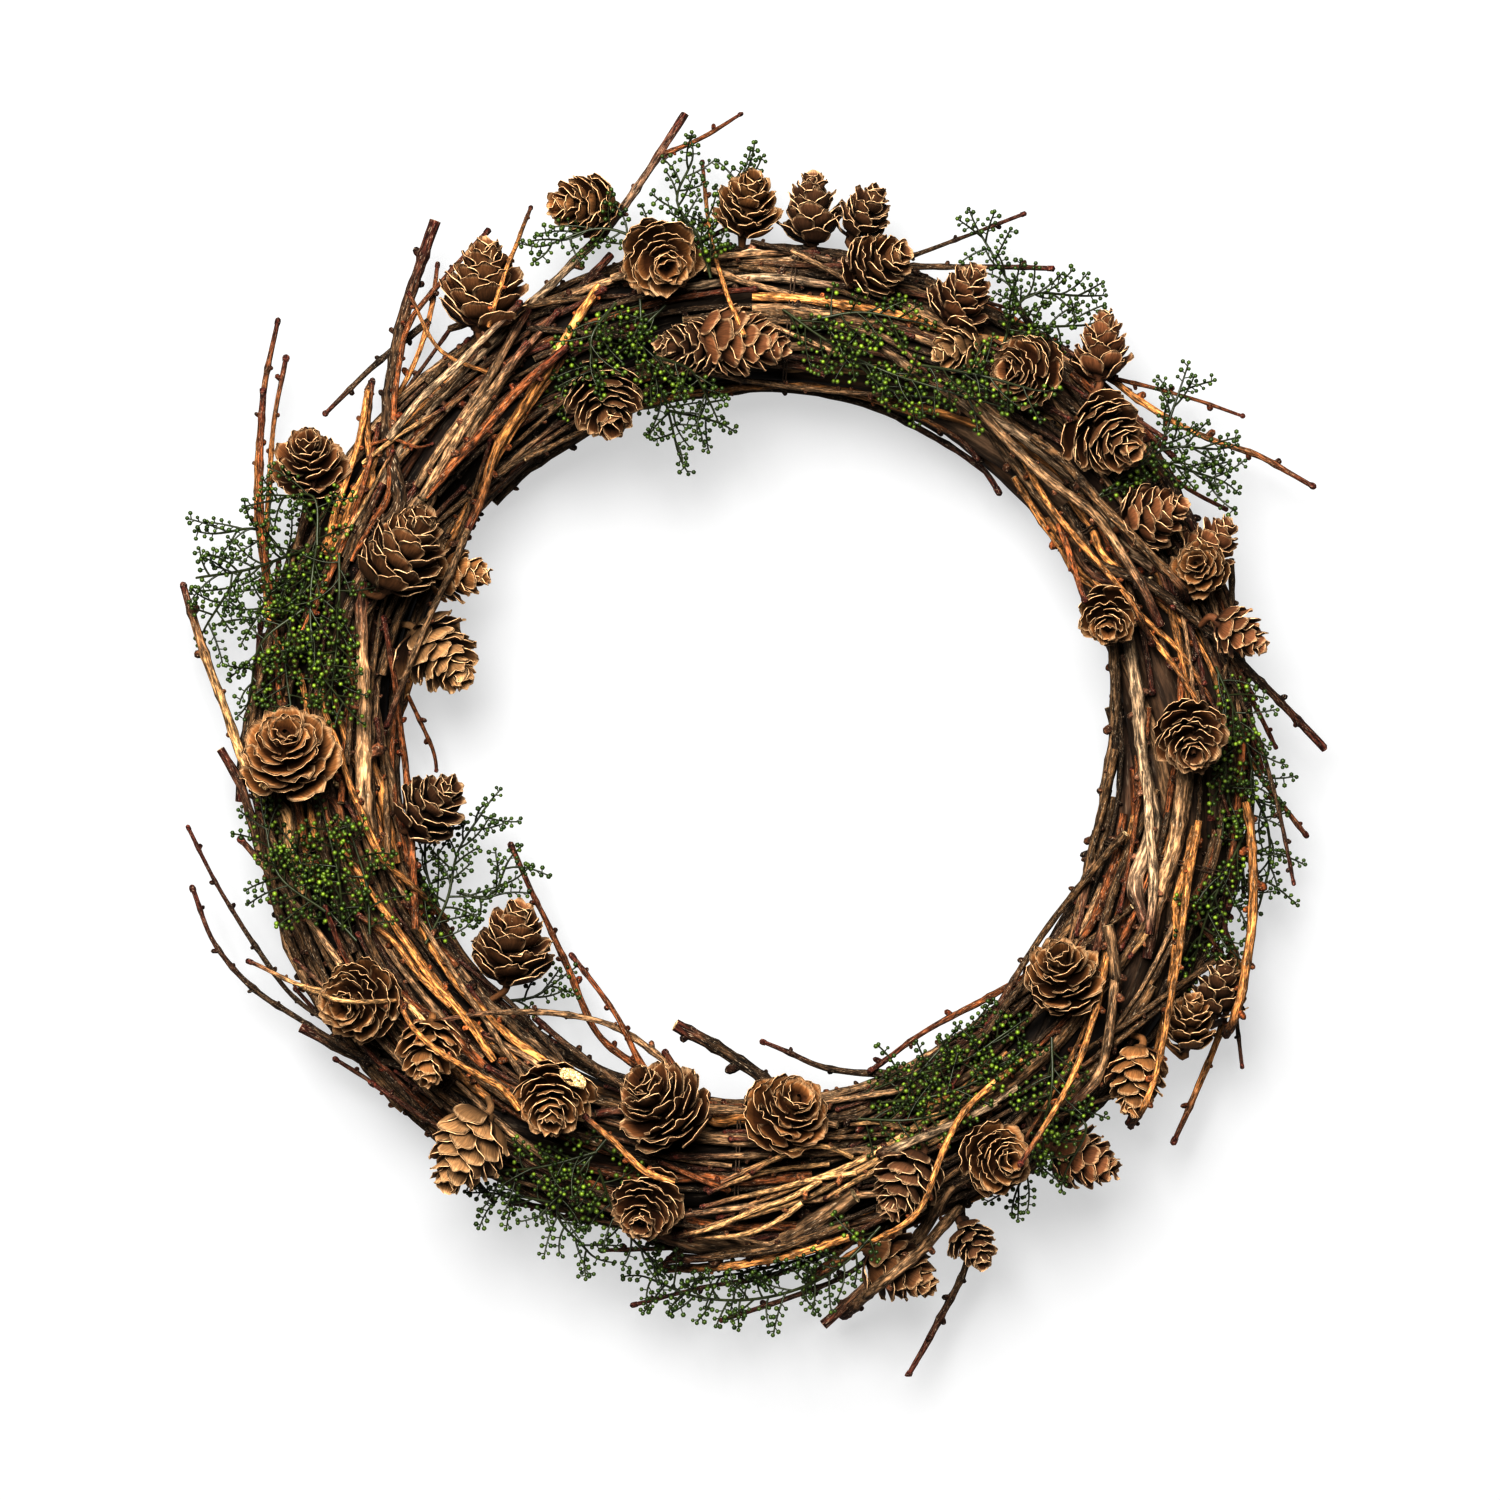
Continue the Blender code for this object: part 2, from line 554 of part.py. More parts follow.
class Cone:
    """One cone by its middle, axis, widest radius and length, with the balls that stand for its bulk."""

    def __init__(self, node, row):
        angle, distance, heading, lift, radius, length = row
        self.node = node
        self.axis = cone_axis(heading, lift)
        self.radius = radius * MM
        self.length = length * MM
        self.middle = np.append(spot(angle, distance * MM), 0.0)
        base = self.middle - self.axis * self.length / 2
        off = np.hypot(base[0], base[1]) - HOOP_RADIUS
        rise = math.sqrt(max(CONE_SEAT**2 - off**2, LEAST_RISE**2))
        self.middle[2] = HOOP_HEIGHT + rise + self.axis[2] * self.length / 2
        self.bulk = self.radius * np.array([cone_profile(s) for s in BULK_SHARES])

    def balls(self):
        return self.middle + self.axis * self.length * (BULK_SHARES[:, None] - 0.5)

    def rims(self):
        """A closer account of the bulk: a ring of small balls for each of the shares, and their radii."""
        side = np.array(Vector(self.axis).orthogonal().normalized())
        up = np.cross(self.axis, side)
        turns = np.radians(np.arange(BULK_SIDES) * 360 / BULK_SIDES)
        ring = np.cos(turns)[:, None] * side + np.sin(turns)[:, None] * up
        points = self.balls()[:, None] + ring[None] * self.bulk[:, None, None] * BULK_OUT
        return points.reshape(-1, 3), np.repeat(self.bulk * BULK_BALL, BULK_SIDES)

    def base(self):
        return self.middle - self.axis * self.length / 2


def push_apart(cones):
    """Moves cones of different nodes sideways, a little each time, until their bulks no longer cross."""
    for _ in range(PUSH_ROUNDS):
        for i, one in enumerate(cones):
            for other in cones[i + 1:]:
                if one.node == other.node or np.linalg.norm(one.middle - other.middle) > PUSH_REACH:
                    continue
                way = one.balls()[:, None] - other.balls()[None]
                reach = np.linalg.norm(way, axis=2)
                deep = one.bulk[:, None] + other.bulk[None] + GAP - reach
                worst = np.unravel_index(np.argmax(deep), deep.shape)
                if deep[worst] > 0:
                    push = way[worst] / max(reach[worst], 1e-6) * deep[worst] * PUSH_SHARE
                    push[2] *= PUSH_UP
                    one.middle += push / 2
                    other.middle -= push / 2


def cone_mesh(cone, draws):
    """A closed body of scale tiers: each has a rim of pointed scales, and a groove leads to the next one."""
    tiers = LONG_TIERS if cone.length > LONG_CONE else SHORT_TIERS
    side = Vector(cone.axis).orthogonal().normalized()
    up = Vector(cone.axis).cross(side)
    base = Vector(cone.base())
    axis = Vector(cone.axis)
    shape = bmesh.new()

    def ring(count, turn, radii, heights):
        points = []
        for k in range(count):
            angle = turn + 2 * math.pi * k / count
            flat = side * math.cos(angle) + up * math.sin(angle)
            place = base + axis * heights[k % len(heights)] + flat * radii[k % len(radii)]
            points.append(shape.verts.new(place))
        return points

    pitch = cone.length / tiers
    turn = draws.uniform(0, 2 * math.pi)
    groove = ring(CONE_SCALES, turn, [cone.radius * CONE_FOOT], [0.0])
    shape.faces.new(groove[::-1])
    for k in range(tiers):
        share = (k + 0.5) / tiers
        reach = cone.radius * cone_profile(share)
        lean = pitch * (SCALE_LEAN + TIP_LEAN * share)
        tips = [reach * draws.uniform(SCALE_DRAW, 1.0), reach * SCALE_NOTCH]
        rim = ring(2 * CONE_SCALES, turn, tips, [pitch * k + lean, pitch * k + lean * NOTCH_LEAN])
        skin_under(shape, groove, rim)
        # The next groove's points stand behind the notches, where the next tier's tips come out.
        turn += math.pi / CONE_SCALES
        root = LAST_ROOT if k == tiers - 1 else SCALE_ROOT
        groove = ring(CONE_SCALES, turn, [reach * root], [pitch * (k + ROOT_PLACE)])
        skin_over(shape, rim[1:] + rim[:1], groove)
    tip = shape.verts.new(base + axis * cone.length)
    for k in range(CONE_SCALES):
        shape.faces.new((groove[k], groove[(k + 1) % CONE_SCALES], tip))
    return finished(shape, cone.node + "_body")


def skin_under(shape, groove, rim):
    """Joins a groove to the rim above it, whose tips stand over the groove's points."""
    count = len(groove)
    for k in range(count):
        a, b = groove[k], groove[(k + 1) % count]
        tip, notch, next_tip = rim[2 * k], rim[2 * k + 1], rim[(2 * k + 2) % len(rim)]
        shape.faces.new((a, notch, tip))
        shape.faces.new((a, b, notch))
        shape.faces.new((b, next_tip, notch))


def skin_over(shape, rim, groove):
    """Joins a rim, which starts at a notch, to the groove whose points stand behind its notches."""
    count = len(groove)
    for k in range(count):
        notch, tip, next_notch = rim[2 * k], rim[2 * k + 1], rim[(2 * k + 2) % len(rim)]
        a, b = groove[k], groove[(k + 1) % count]
        shape.faces.new((notch, tip, a))
        shape.faces.new((tip, b, a))
        shape.faces.new((tip, next_notch, b))


def finished(shape, name):
    """An object with the shape as its mesh."""
    bmesh.ops.recalc_face_normals(shape, faces=shape.faces)
    mesh = bpy.data.meshes.new(name)
    shape.to_mesh(mesh)
    shape.free()
    return shown(bpy.data.objects.new(name, mesh))


def shown(obj):
    bpy.context.scene.collection.objects.link(obj)
    return obj


def rod(points, radii, name, section=None):
    """A rod through the points, as a closed mesh. It has four sides, or those of the section curve."""
    curve = bpy.data.curves.new(name, "CURVE")
    curve.dimensions = "3D"
    if section:
        curve.bevel_mode = "OBJECT"
        curve.bevel_object = section
    else:
        curve.bevel_depth = 1.0
        curve.bevel_resolution = 0
    curve.use_fill_caps = True
    spline = curve.splines.new("POLY")
    spline.points.add(len(points) - 1)
    for point, place, radius in zip(spline.points, points, radii):
        point.co = (*place, 1)
        point.radius = radius
    guide = shown(bpy.data.objects.new(name + "_line", curve))
    bpy.context.view_layer.update()
    mesh = bpy.data.meshes.new_from_object(guide.evaluated_get(bpy.context.evaluated_depsgraph_get()))
    mesh.name = name
    shape = bmesh.new()
    shape.from_mesh(mesh)
    bmesh.ops.remove_doubles(shape, verts=shape.verts, dist=WELD)
    bmesh.ops.recalc_face_normals(shape, faces=shape.faces)
    shape.to_mesh(mesh)
    shape.free()
    solid = shown(bpy.data.objects.new(name, mesh))
    solid.matrix_world = guide.matrix_world
    bpy.data.objects.remove(guide)
    return solid


def three_sides():
    """A triangle of unit radius, the section of the thinnest stems."""
    curve = bpy.data.curves.new("three_sides", "CURVE")
    spline = curve.splines.new("POLY")
    spline.points.add(2)
    for k, point in enumerate(spline.points):
        turn = -2 * math.pi * k / 3
        point.co = (math.cos(turn), math.sin(turn), 0, 1)
    spline.use_cyclic_u = True
    return shown(bpy.data.objects.new("three_sides", curve))


def take_result(obj):
    """Applies an object's modifiers."""
    bpy.context.view_layer.update()
    mesh = bpy.data.meshes.new_from_object(obj.evaluated_get(bpy.context.evaluated_depsgraph_get()))
    obj.modifiers.clear()
    obj.data = mesh


def fused(pieces, name):
    """One body from overlapping pieces."""
    first, rest = pieces[0], pieces[1:]
    first.name = name
    if rest:
        group = bpy.data.collections.new(name + "_pieces")
        bpy.context.scene.collection.children.link(group)
        for piece in rest:
            bpy.context.scene.collection.objects.unlink(piece)
            group.objects.link(piece)
        join = first.modifiers.new("Join", "BOOLEAN")
        join.operation = "UNION"
        join.operand_type = "COLLECTION"
        join.collection = group
        join.solver = "MANIFOLD"
        take_result(first)
        for piece in rest:
            bpy.data.objects.remove(piece)
        bpy.data.collections.remove(group)
    first.data.name = name
    return first


def material(name):
    """The finish of one kind of node."""
    colour, roughness = COLOURS[name]
    finish = bpy.data.materials.new(name)
    finish.use_nodes = True
    shader = finish.node_tree.nodes["Principled BSDF"]
    shader.inputs["Base Color"].default_value = (*colour, 1)
    shader.inputs["Roughness"].default_value = roughness
    shader.inputs["Metallic"].default_value = 0
    return finish


def build_hoop():
    """A torus whose section turns with the stems and swells over each of them, cut flat where it lies down.

    Its inner side is moved out by what the straight edges cut off a circle, so that it keeps to its widest.
    """
    sag = (HOOP_RADIUS - HOOP_WIDEST) * (1 / math.cos(math.pi / HOOP_SEGMENTS) - 1)
    bpy.ops.mesh.primitive_torus_add(major_segments=HOOP_SEGMENTS, minor_segments=2 * STEM_COUNT,
                                     major_radius=HOOP_RADIUS, minor_radius=HOOP_WIDEST)
    hoop = bpy.context.object
    hoop.name = "hoop"
    for vertex in hoop.data.vertices:
        x, y, z = vertex.co
        turn = math.atan2(y, x)
        side = math.atan2(z, math.hypot(x, y) - HOOP_RADIUS) + STEM_TURNS * turn
        thick = hoop_radius_at(turn, side)
        out = HOOP_RADIUS + thick * math.cos(side) + sag * max(0, -math.cos(side))
        vertex.co = (out * math.cos(turn), out * math.sin(turn), HOOP_HEIGHT + thick * math.sin(side))
    shape = bmesh.new()
    shape.from_mesh(hoop.data)
    bmesh.ops.triangulate(shape, faces=shape.faces)
    shape.to_mesh(hoop.data)
    shape.free()
    bpy.ops.mesh.primitive_cube_add(size=1, location=(0, 0, -TABLE_DEPTH / 2))
    table = bpy.context.object
    table.scale = (3 * HOOP_RADIUS, 3 * HOOP_RADIUS, TABLE_DEPTH)
    cut = hoop.modifiers.new("Flat back", "BOOLEAN")
    cut.operation = "DIFFERENCE"
    cut.object = table
    take_result(hoop)
    bpy.data.objects.remove(table)
    return hoop


def wire_route(wire_angle):
    """The binding wire runs over the hoop through its twigs, and its two ends go down to the hoop's sides."""
    points = []
    sides = np.radians(np.linspace(WIRE_FROM, WIRE_TO, WIRE_POINTS))
    turn = math.radians(wire_angle)
    for k, side in enumerate(sides):
        rho = WIRE_RHO
        if k in (0, WIRE_POINTS - 1):
            rho = hoop_radius_at(turn, side) + WIRE_RADIUS + GAP
        out = HOOP_RADIUS + rho * math.cos(side)
        points.append((out * math.cos(turn), out * math.sin(turn), HOOP_HEIGHT + rho * math.sin(side)))
    return np.array(points), np.full(WIRE_POINTS, WIRE_RADIUS)


def lay_all():
    """Finds where every twig, cone and shoot lies, in the order in which they are put on."""
    laid = Laid()
    twigs = {}
    for name, (wire_angle, rows) in BUNDLES.items():
        group = [Twig(wire_angle, *row) for row in rows]
        sides = spread(np.array([t.side for t in group]), np.array([t.butt for t in group]))
        for k, (twig, side) in enumerate(zip(group, sides)):
            twig.bind(side)
            laid.add(*twig.bound_part(), (name, k))
        laid.add(*wire_route(wire_angle), (name, "wire"))
        twigs[name] = group
    for name, group in twigs.items():
        for k, twig in enumerate(group):
            lay_bound(twig, laid, name, k)
    cones = [Cone(node, row) for node, rows in CONES.items() for row in rows]
    push_apart(cones)
    for cone in sorted(cones, key=lambda c: c.middle[2]):
        for _ in range(CONE_LIFTS):
            points, thick = cone.rims()
            room = np.minimum(laid.room(points, thick, (cone.node,)), hoop_room(points, thick))
            if (room > GAP).all():
                break
            cone.middle[2] += CONE_LIFT
        laid.add(*cone.rims(), cone.node)
    shoots = []
    for k, (name, parent, thickness, bends) in enumerate(SHOOTS):
        shoots.append((name, lay_shoot(twigs[name][parent], thickness, bends, laid, (name, "shoot", k),
                                       (name, parent))))
    return laid, twigs, cones, shoots


def lay_bound(twig, laid, name, k):
    """Lays one twig of a bundle over what is there, and shortens it where it can't be lifted clear."""
    bundle = tuple(owner for owner in set(laid.owner) if owner[0] == name)
    short, before = settle(twig.route, twig.thick, twig.held, laid, ((name, k), (name, "wire")), bundle,
                           twig.route[twig.hold_at])
    if short.any():
        first, last = longest_clear(short, before, len(twig.route), twig.hold_at)
        keep = slice(first, last + 1)
        twig.route, twig.thick, twig.held = twig.route[keep], twig.thick[keep], twig.held[keep]
    laid.drop((name, k))
    laid.add(twig.route, twig.thick, (name, k))


def build_bundle(name, group, shoots, section):
    """The twigs and side shoots of one bundle, joined by its wire. The thin ones have three sides."""
    pieces = [rod(*wire_route(BUNDLES[name][0]), name)]
    rods = [(twig.route, twig.thick) for twig in group]
    rods += [shoot for owner, shoot in shoots if owner == name and len(shoot[0]) > 1]
    for k, (route, thick) in enumerate(rods):
        pieces.append(rod(route, thick, f"{name}_twig_{k}", section if thick.max() < THIN_TWIG else None))
    return fused(pieces, name)


def surface_of(objects):
    """A search tree of the faces of several objects."""
    points, faces = [], []
    for obj in objects:
        first = len(points)
        points += [obj.matrix_world @ v.co for v in obj.data.vertices]
        faces += [[first + i for i in p.vertices] for p in obj.data.polygons]
    return BVHTree.FromPolygons(points, faces)


def build_cone_node(node, cones, carrier, laid, draws):
    """One cone or a pair of cones that touch, with a stalk from each down to what carries it."""
    pieces = []
    for k, cone in enumerate(cones):
        pieces.append(cone_mesh(cone, draws))
        base = Vector(cone.base())
        nearest, _, _, far = carrier.find_nearest(base)
        if far > GAP + THINNEST:
            way = (nearest - base).normalized()
            inside = base + Vector(cone.axis) * cone.length * STALK_IN
            end = nearest - way * GAP
            pieces.append(rod([inside, end], [STALK_RADIUS, STALK_TIP], f"{node}_stalk_{k}"))
            laid.add(np.array([base, end]), np.array([STALK_RADIUS, STALK_TIP]), node)
    if len(cones) > 1:
        ends = [cone.middle for cone in cones]
        pieces.append(rod(ends, [JOINT_RADIUS] * 2, node + "_joint"))
    return fused(pieces, node)


def lay_stem(route_bends, root, laid, node):
    """A stem of greenery, laid over what is there. The first bend is held where it grows from another stem."""
    plane = smooth_through([spot(a, r * MM) for a, r in route_bends], SAMPLE_SPACING)
    places = along(plane)
    count = max(3, round(places[-1] / STEM_BEND) + 1)
    at = np.linspace(0, places[-1], count)
    route = np.column_stack([np.interp(at, places, plane[:, k]) for k in range(2)] + [at * 0])
    thick = np.full(count, STEM_RADIUS)
    route[:, 2] = draped(route, thick)
    held = np.zeros(count, bool)
    if root is not None:
        route[0] = root
        held[0] = True
    short, before = settle(route, thick, held, laid, ignore=(node,))
    if short.any():
        last = longest_clear(short, before, count, 0)[1]
        route, thick = route[:last + 1], thick[:last + 1]
    return route, thick


def sprig(start, way, length):
    """A side sprig with berries strung on it: its points and the radius at each."""
    points = np.array([start + way * length * share for share in SPRIG_SHARES])
    thick = np.full(len(points), STEM_RADIUS)
    thick[-1] *= SPRIG_TIP
    thick[list(SPRIG_BERRIES)] = BERRY_RADIUS
    return points, thick


def fitted_sprig(start, course, hand, laid, node, draws):
    """A sprig with room round it, to one hand of its stem's course. Each further try rises more steeply."""
    for tries in range(SPRIG_TRIES):
        heading = course + hand * math.radians(draws.uniform(*SPRIG_TURN))
        lift = math.radians(draws.uniform(*SPRIG_RISE) + RISE_STEP * tries)
        way = np.array((math.cos(heading) * math.cos(lift), math.sin(heading) * math.cos(lift), math.sin(lift)))
        points, radii = sprig(start, way, SPRIG_LENGTH * draws.uniform(*SPRIG_DRAW))
        balls, thick, _ = sampled(points, radii)
        if min(laid.room(balls, thick, (node,)).min(), hoop_room(balls, thick).min()) > GAP:
            return points, radii
    return None


def place_on(route, places, place):
    """The point that lies a given way along a route."""
    return np.array([np.interp(place, places, route[:, k]) for k in range(3)])


def build_spray(node, routes, carrier, laid, section, draws):
    """Stems with sprigs to both sides, rooted on what carries them. A sprig that finds no room is left out."""
    pieces = []
    main_stem = None
    for bends in routes:
        root = None
        if main_stem is not None:
            points = sampled(*main_stem)[0]
            start = spot(bends[0][0], bends[0][1] * MM)
            root = points[int(np.argmin(np.linalg.norm(points[:, :2] - start, axis=1)))]
        route, thick = lay_stem(bends, root, laid, node)
        if len(route) < 2:
            continue
        nearest, _, _, far = carrier.find_nearest(route[0])
        if main_stem is None and far > GAP + THINNEST:
            foot = np.array([route[0], nearest + (Vector(route[0]) - nearest).normalized() * GAP])
            pieces.append(rod(foot, thick[:2], node + "_foot", section))
            laid.add(foot, thick[:2], node)
        main_stem = main_stem or (route, thick)
        pieces.append(rod(route, thick, f"{node}_stem_{len(pieces)}", section))
        laid.add(route, thick, node)
        places = along(route)
        hand = 1
        for place in np.arange(SPRIG_SPACING * FIRST_SPRIG, places[-1], SPRIG_SPACING):
            near = (place - SAMPLE_SPACING, place, place + SAMPLE_SPACING)
            behind, start, ahead = (place_on(route, places, there) for there in near)
            course = math.atan2(ahead[1] - behind[1], ahead[0] - behind[0])
            hand = -hand
            found = fitted_sprig(start, course, hand, laid, node, draws)
            if found:
                pieces.append(rod(*found, f"{node}_sprig_{len(pieces)}", section))
                laid.add(*found, node)
    return fused(pieces, node)


def recentre(nodes):
    """Moves everything so that the footprint's middle is the origin and its lowest point is at z = 0."""
    corners = np.array([obj.matrix_world @ v.co for obj in nodes for v in obj.data.vertices])
    low, high = corners.min(axis=0), corners.max(axis=0)
    move = Vector(((low[0] + high[0]) / 2, (low[1] + high[1]) / 2, 0))
    for obj in nodes:
        for vertex in obj.data.vertices:
            vertex.co -= move


def main():
    for obj in list(bpy.data.objects):
        bpy.data.objects.remove(obj)
    draws = random.Random(SEED)
    section = three_sides()
    laid, twigs, cones, shoots = lay_all()
    nodes = {"hoop": [build_hoop()], "twigs": [], "cone": [], "greenery": []}
    for name, group in twigs.items():
        nodes["twigs"].append(build_bundle(name, group, shoots, section))
    carrier = surface_of(nodes["hoop"] + nodes["twigs"])
    for node in CONES:
        own = [cone for cone in cones if cone.node == node]
        nodes["cone"].append(build_cone_node(node, own, carrier, laid, draws))
    carrier = surface_of(nodes["hoop"] + nodes["twigs"] + nodes["cone"])
    for node, routes in SPRAYS.items():
        nodes["greenery"].append(build_spray(node, routes, carrier, laid, section, draws))
    bpy.data.objects.remove(section)
    whole = bpy.data.collections.new("pinecone_wreath")
    bpy.context.scene.collection.children.link(whole)
    everything = [obj for group in nodes.values() for obj in group]
    recentre(everything)
    for kind, group in nodes.items():
        finish = material(kind)
        for obj in group:
            obj.data.materials.clear()
            obj.data.materials.append(finish)
            for holder in list(obj.users_collection):
                holder.objects.unlink(obj)
            whole.objects.link(obj)


main()
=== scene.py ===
"""The looks of a wreath of larch twigs, larch cones and small-berried greenery on a hoop of twisted stems.

The twigs, cones and stems of greenery are laid by the same rules and from the same places as in the part's
source, so that each finer piece lies where the node is that it replaces. Metres, +Z up, in the frame of the
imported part.
"""

import math

import bpy
import numpy as np
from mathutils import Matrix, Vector
from mathutils.bvhtree import BVHTree


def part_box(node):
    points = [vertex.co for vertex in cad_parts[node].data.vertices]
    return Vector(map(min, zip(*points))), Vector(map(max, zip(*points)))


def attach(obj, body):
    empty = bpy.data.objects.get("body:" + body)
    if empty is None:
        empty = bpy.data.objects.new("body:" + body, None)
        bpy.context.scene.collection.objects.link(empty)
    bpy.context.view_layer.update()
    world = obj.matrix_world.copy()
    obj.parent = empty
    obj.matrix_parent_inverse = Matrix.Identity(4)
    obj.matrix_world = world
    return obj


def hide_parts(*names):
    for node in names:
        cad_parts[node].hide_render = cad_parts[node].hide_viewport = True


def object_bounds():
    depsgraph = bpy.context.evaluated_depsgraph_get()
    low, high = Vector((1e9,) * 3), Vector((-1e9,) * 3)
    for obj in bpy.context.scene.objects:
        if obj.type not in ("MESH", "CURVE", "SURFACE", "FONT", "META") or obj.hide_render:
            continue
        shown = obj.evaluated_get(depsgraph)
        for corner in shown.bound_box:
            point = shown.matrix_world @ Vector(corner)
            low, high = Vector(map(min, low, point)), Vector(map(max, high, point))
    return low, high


MM = 0.001
SEED = 23

# Hoop: stems twisted together, with a groove between each two
HOOP_RADIUS = 0.1120
HOOP_HEIGHT = 0.0159
STEM_COUNT = 8
STEM_TURNS = 2
HOOP_WIDEST = 0.0165
STEM_GROOVE = 0.0017

# Twigs: the clear gap to anything else, their taper from butt to tip and the swelling at every other bend
GAP = 0.00035
TIP_TAPER = 0.58
THINNEST = 0.00046
KNOT = 0.10
BEND_SPACING = 0.0170

# Laying: how routes are sampled, how steep and how high they may get, and how far one round lifts them
SAMPLE_SPACING = 0.0015
NEARBY = 0.02
STEEPEST = 0.45
STEEPEST_CLIMB = 0.85
HIGHEST = 0.056
LOWEST = 0.0025
SETTLE_ROUNDS = 90
LEAST_LIFT, MOST_LIFT = 0.0001, 0.0009
SPARE_LIFT = 0.00005

# Binding wires, and the lanes in which they hold their twigs
WIRE_RADIUS = 0.0007
WIRE_RHO = 0.0183
WIRE_FROM, WIRE_TO, WIRE_POINTS = -35, 215, 10
LANE_FROM, LANE_TO = 6, 174
LANE_SLACK = 0.0003
BIND_SPAN = 5
BIND_EASE = 11
BIND_FREE = 0.024
LEAD_IN = 1
LATE_START = 2
KEPT_STRAIGHT = 0.7

# Cones: where they sit, and their outline in shares of the length and of the widest radius
CONE_SEAT = 0.0196
CONE_SHARES = (0, 0.12, 0.35, 0.6, 0.8, 1)
CONE_WIDTHS = (0.62, 0.92, 1.0, 0.86, 0.6, 0.16)

# Finding room for the cones
BULK_SHARES = np.array((0.16, 0.36, 0.58, 0.78, 0.92))
BULK_SIDES = 7
BULK_OUT = 0.62
BULK_BALL = 0.40
LEAST_RISE = 0.004
PUSH_ROUNDS = 80
PUSH_SHARE = 0.55
PUSH_UP = 0.5
PUSH_REACH = 0.05
CONE_LIFT = 0.0003
CONE_LIFTS = 120

# Greenery: its stems, and the length of the sprigs that grow from them
STEM_RADIUS = 0.00046
STEM_BEND = 0.013
SPRIG_LENGTH = 0.0085

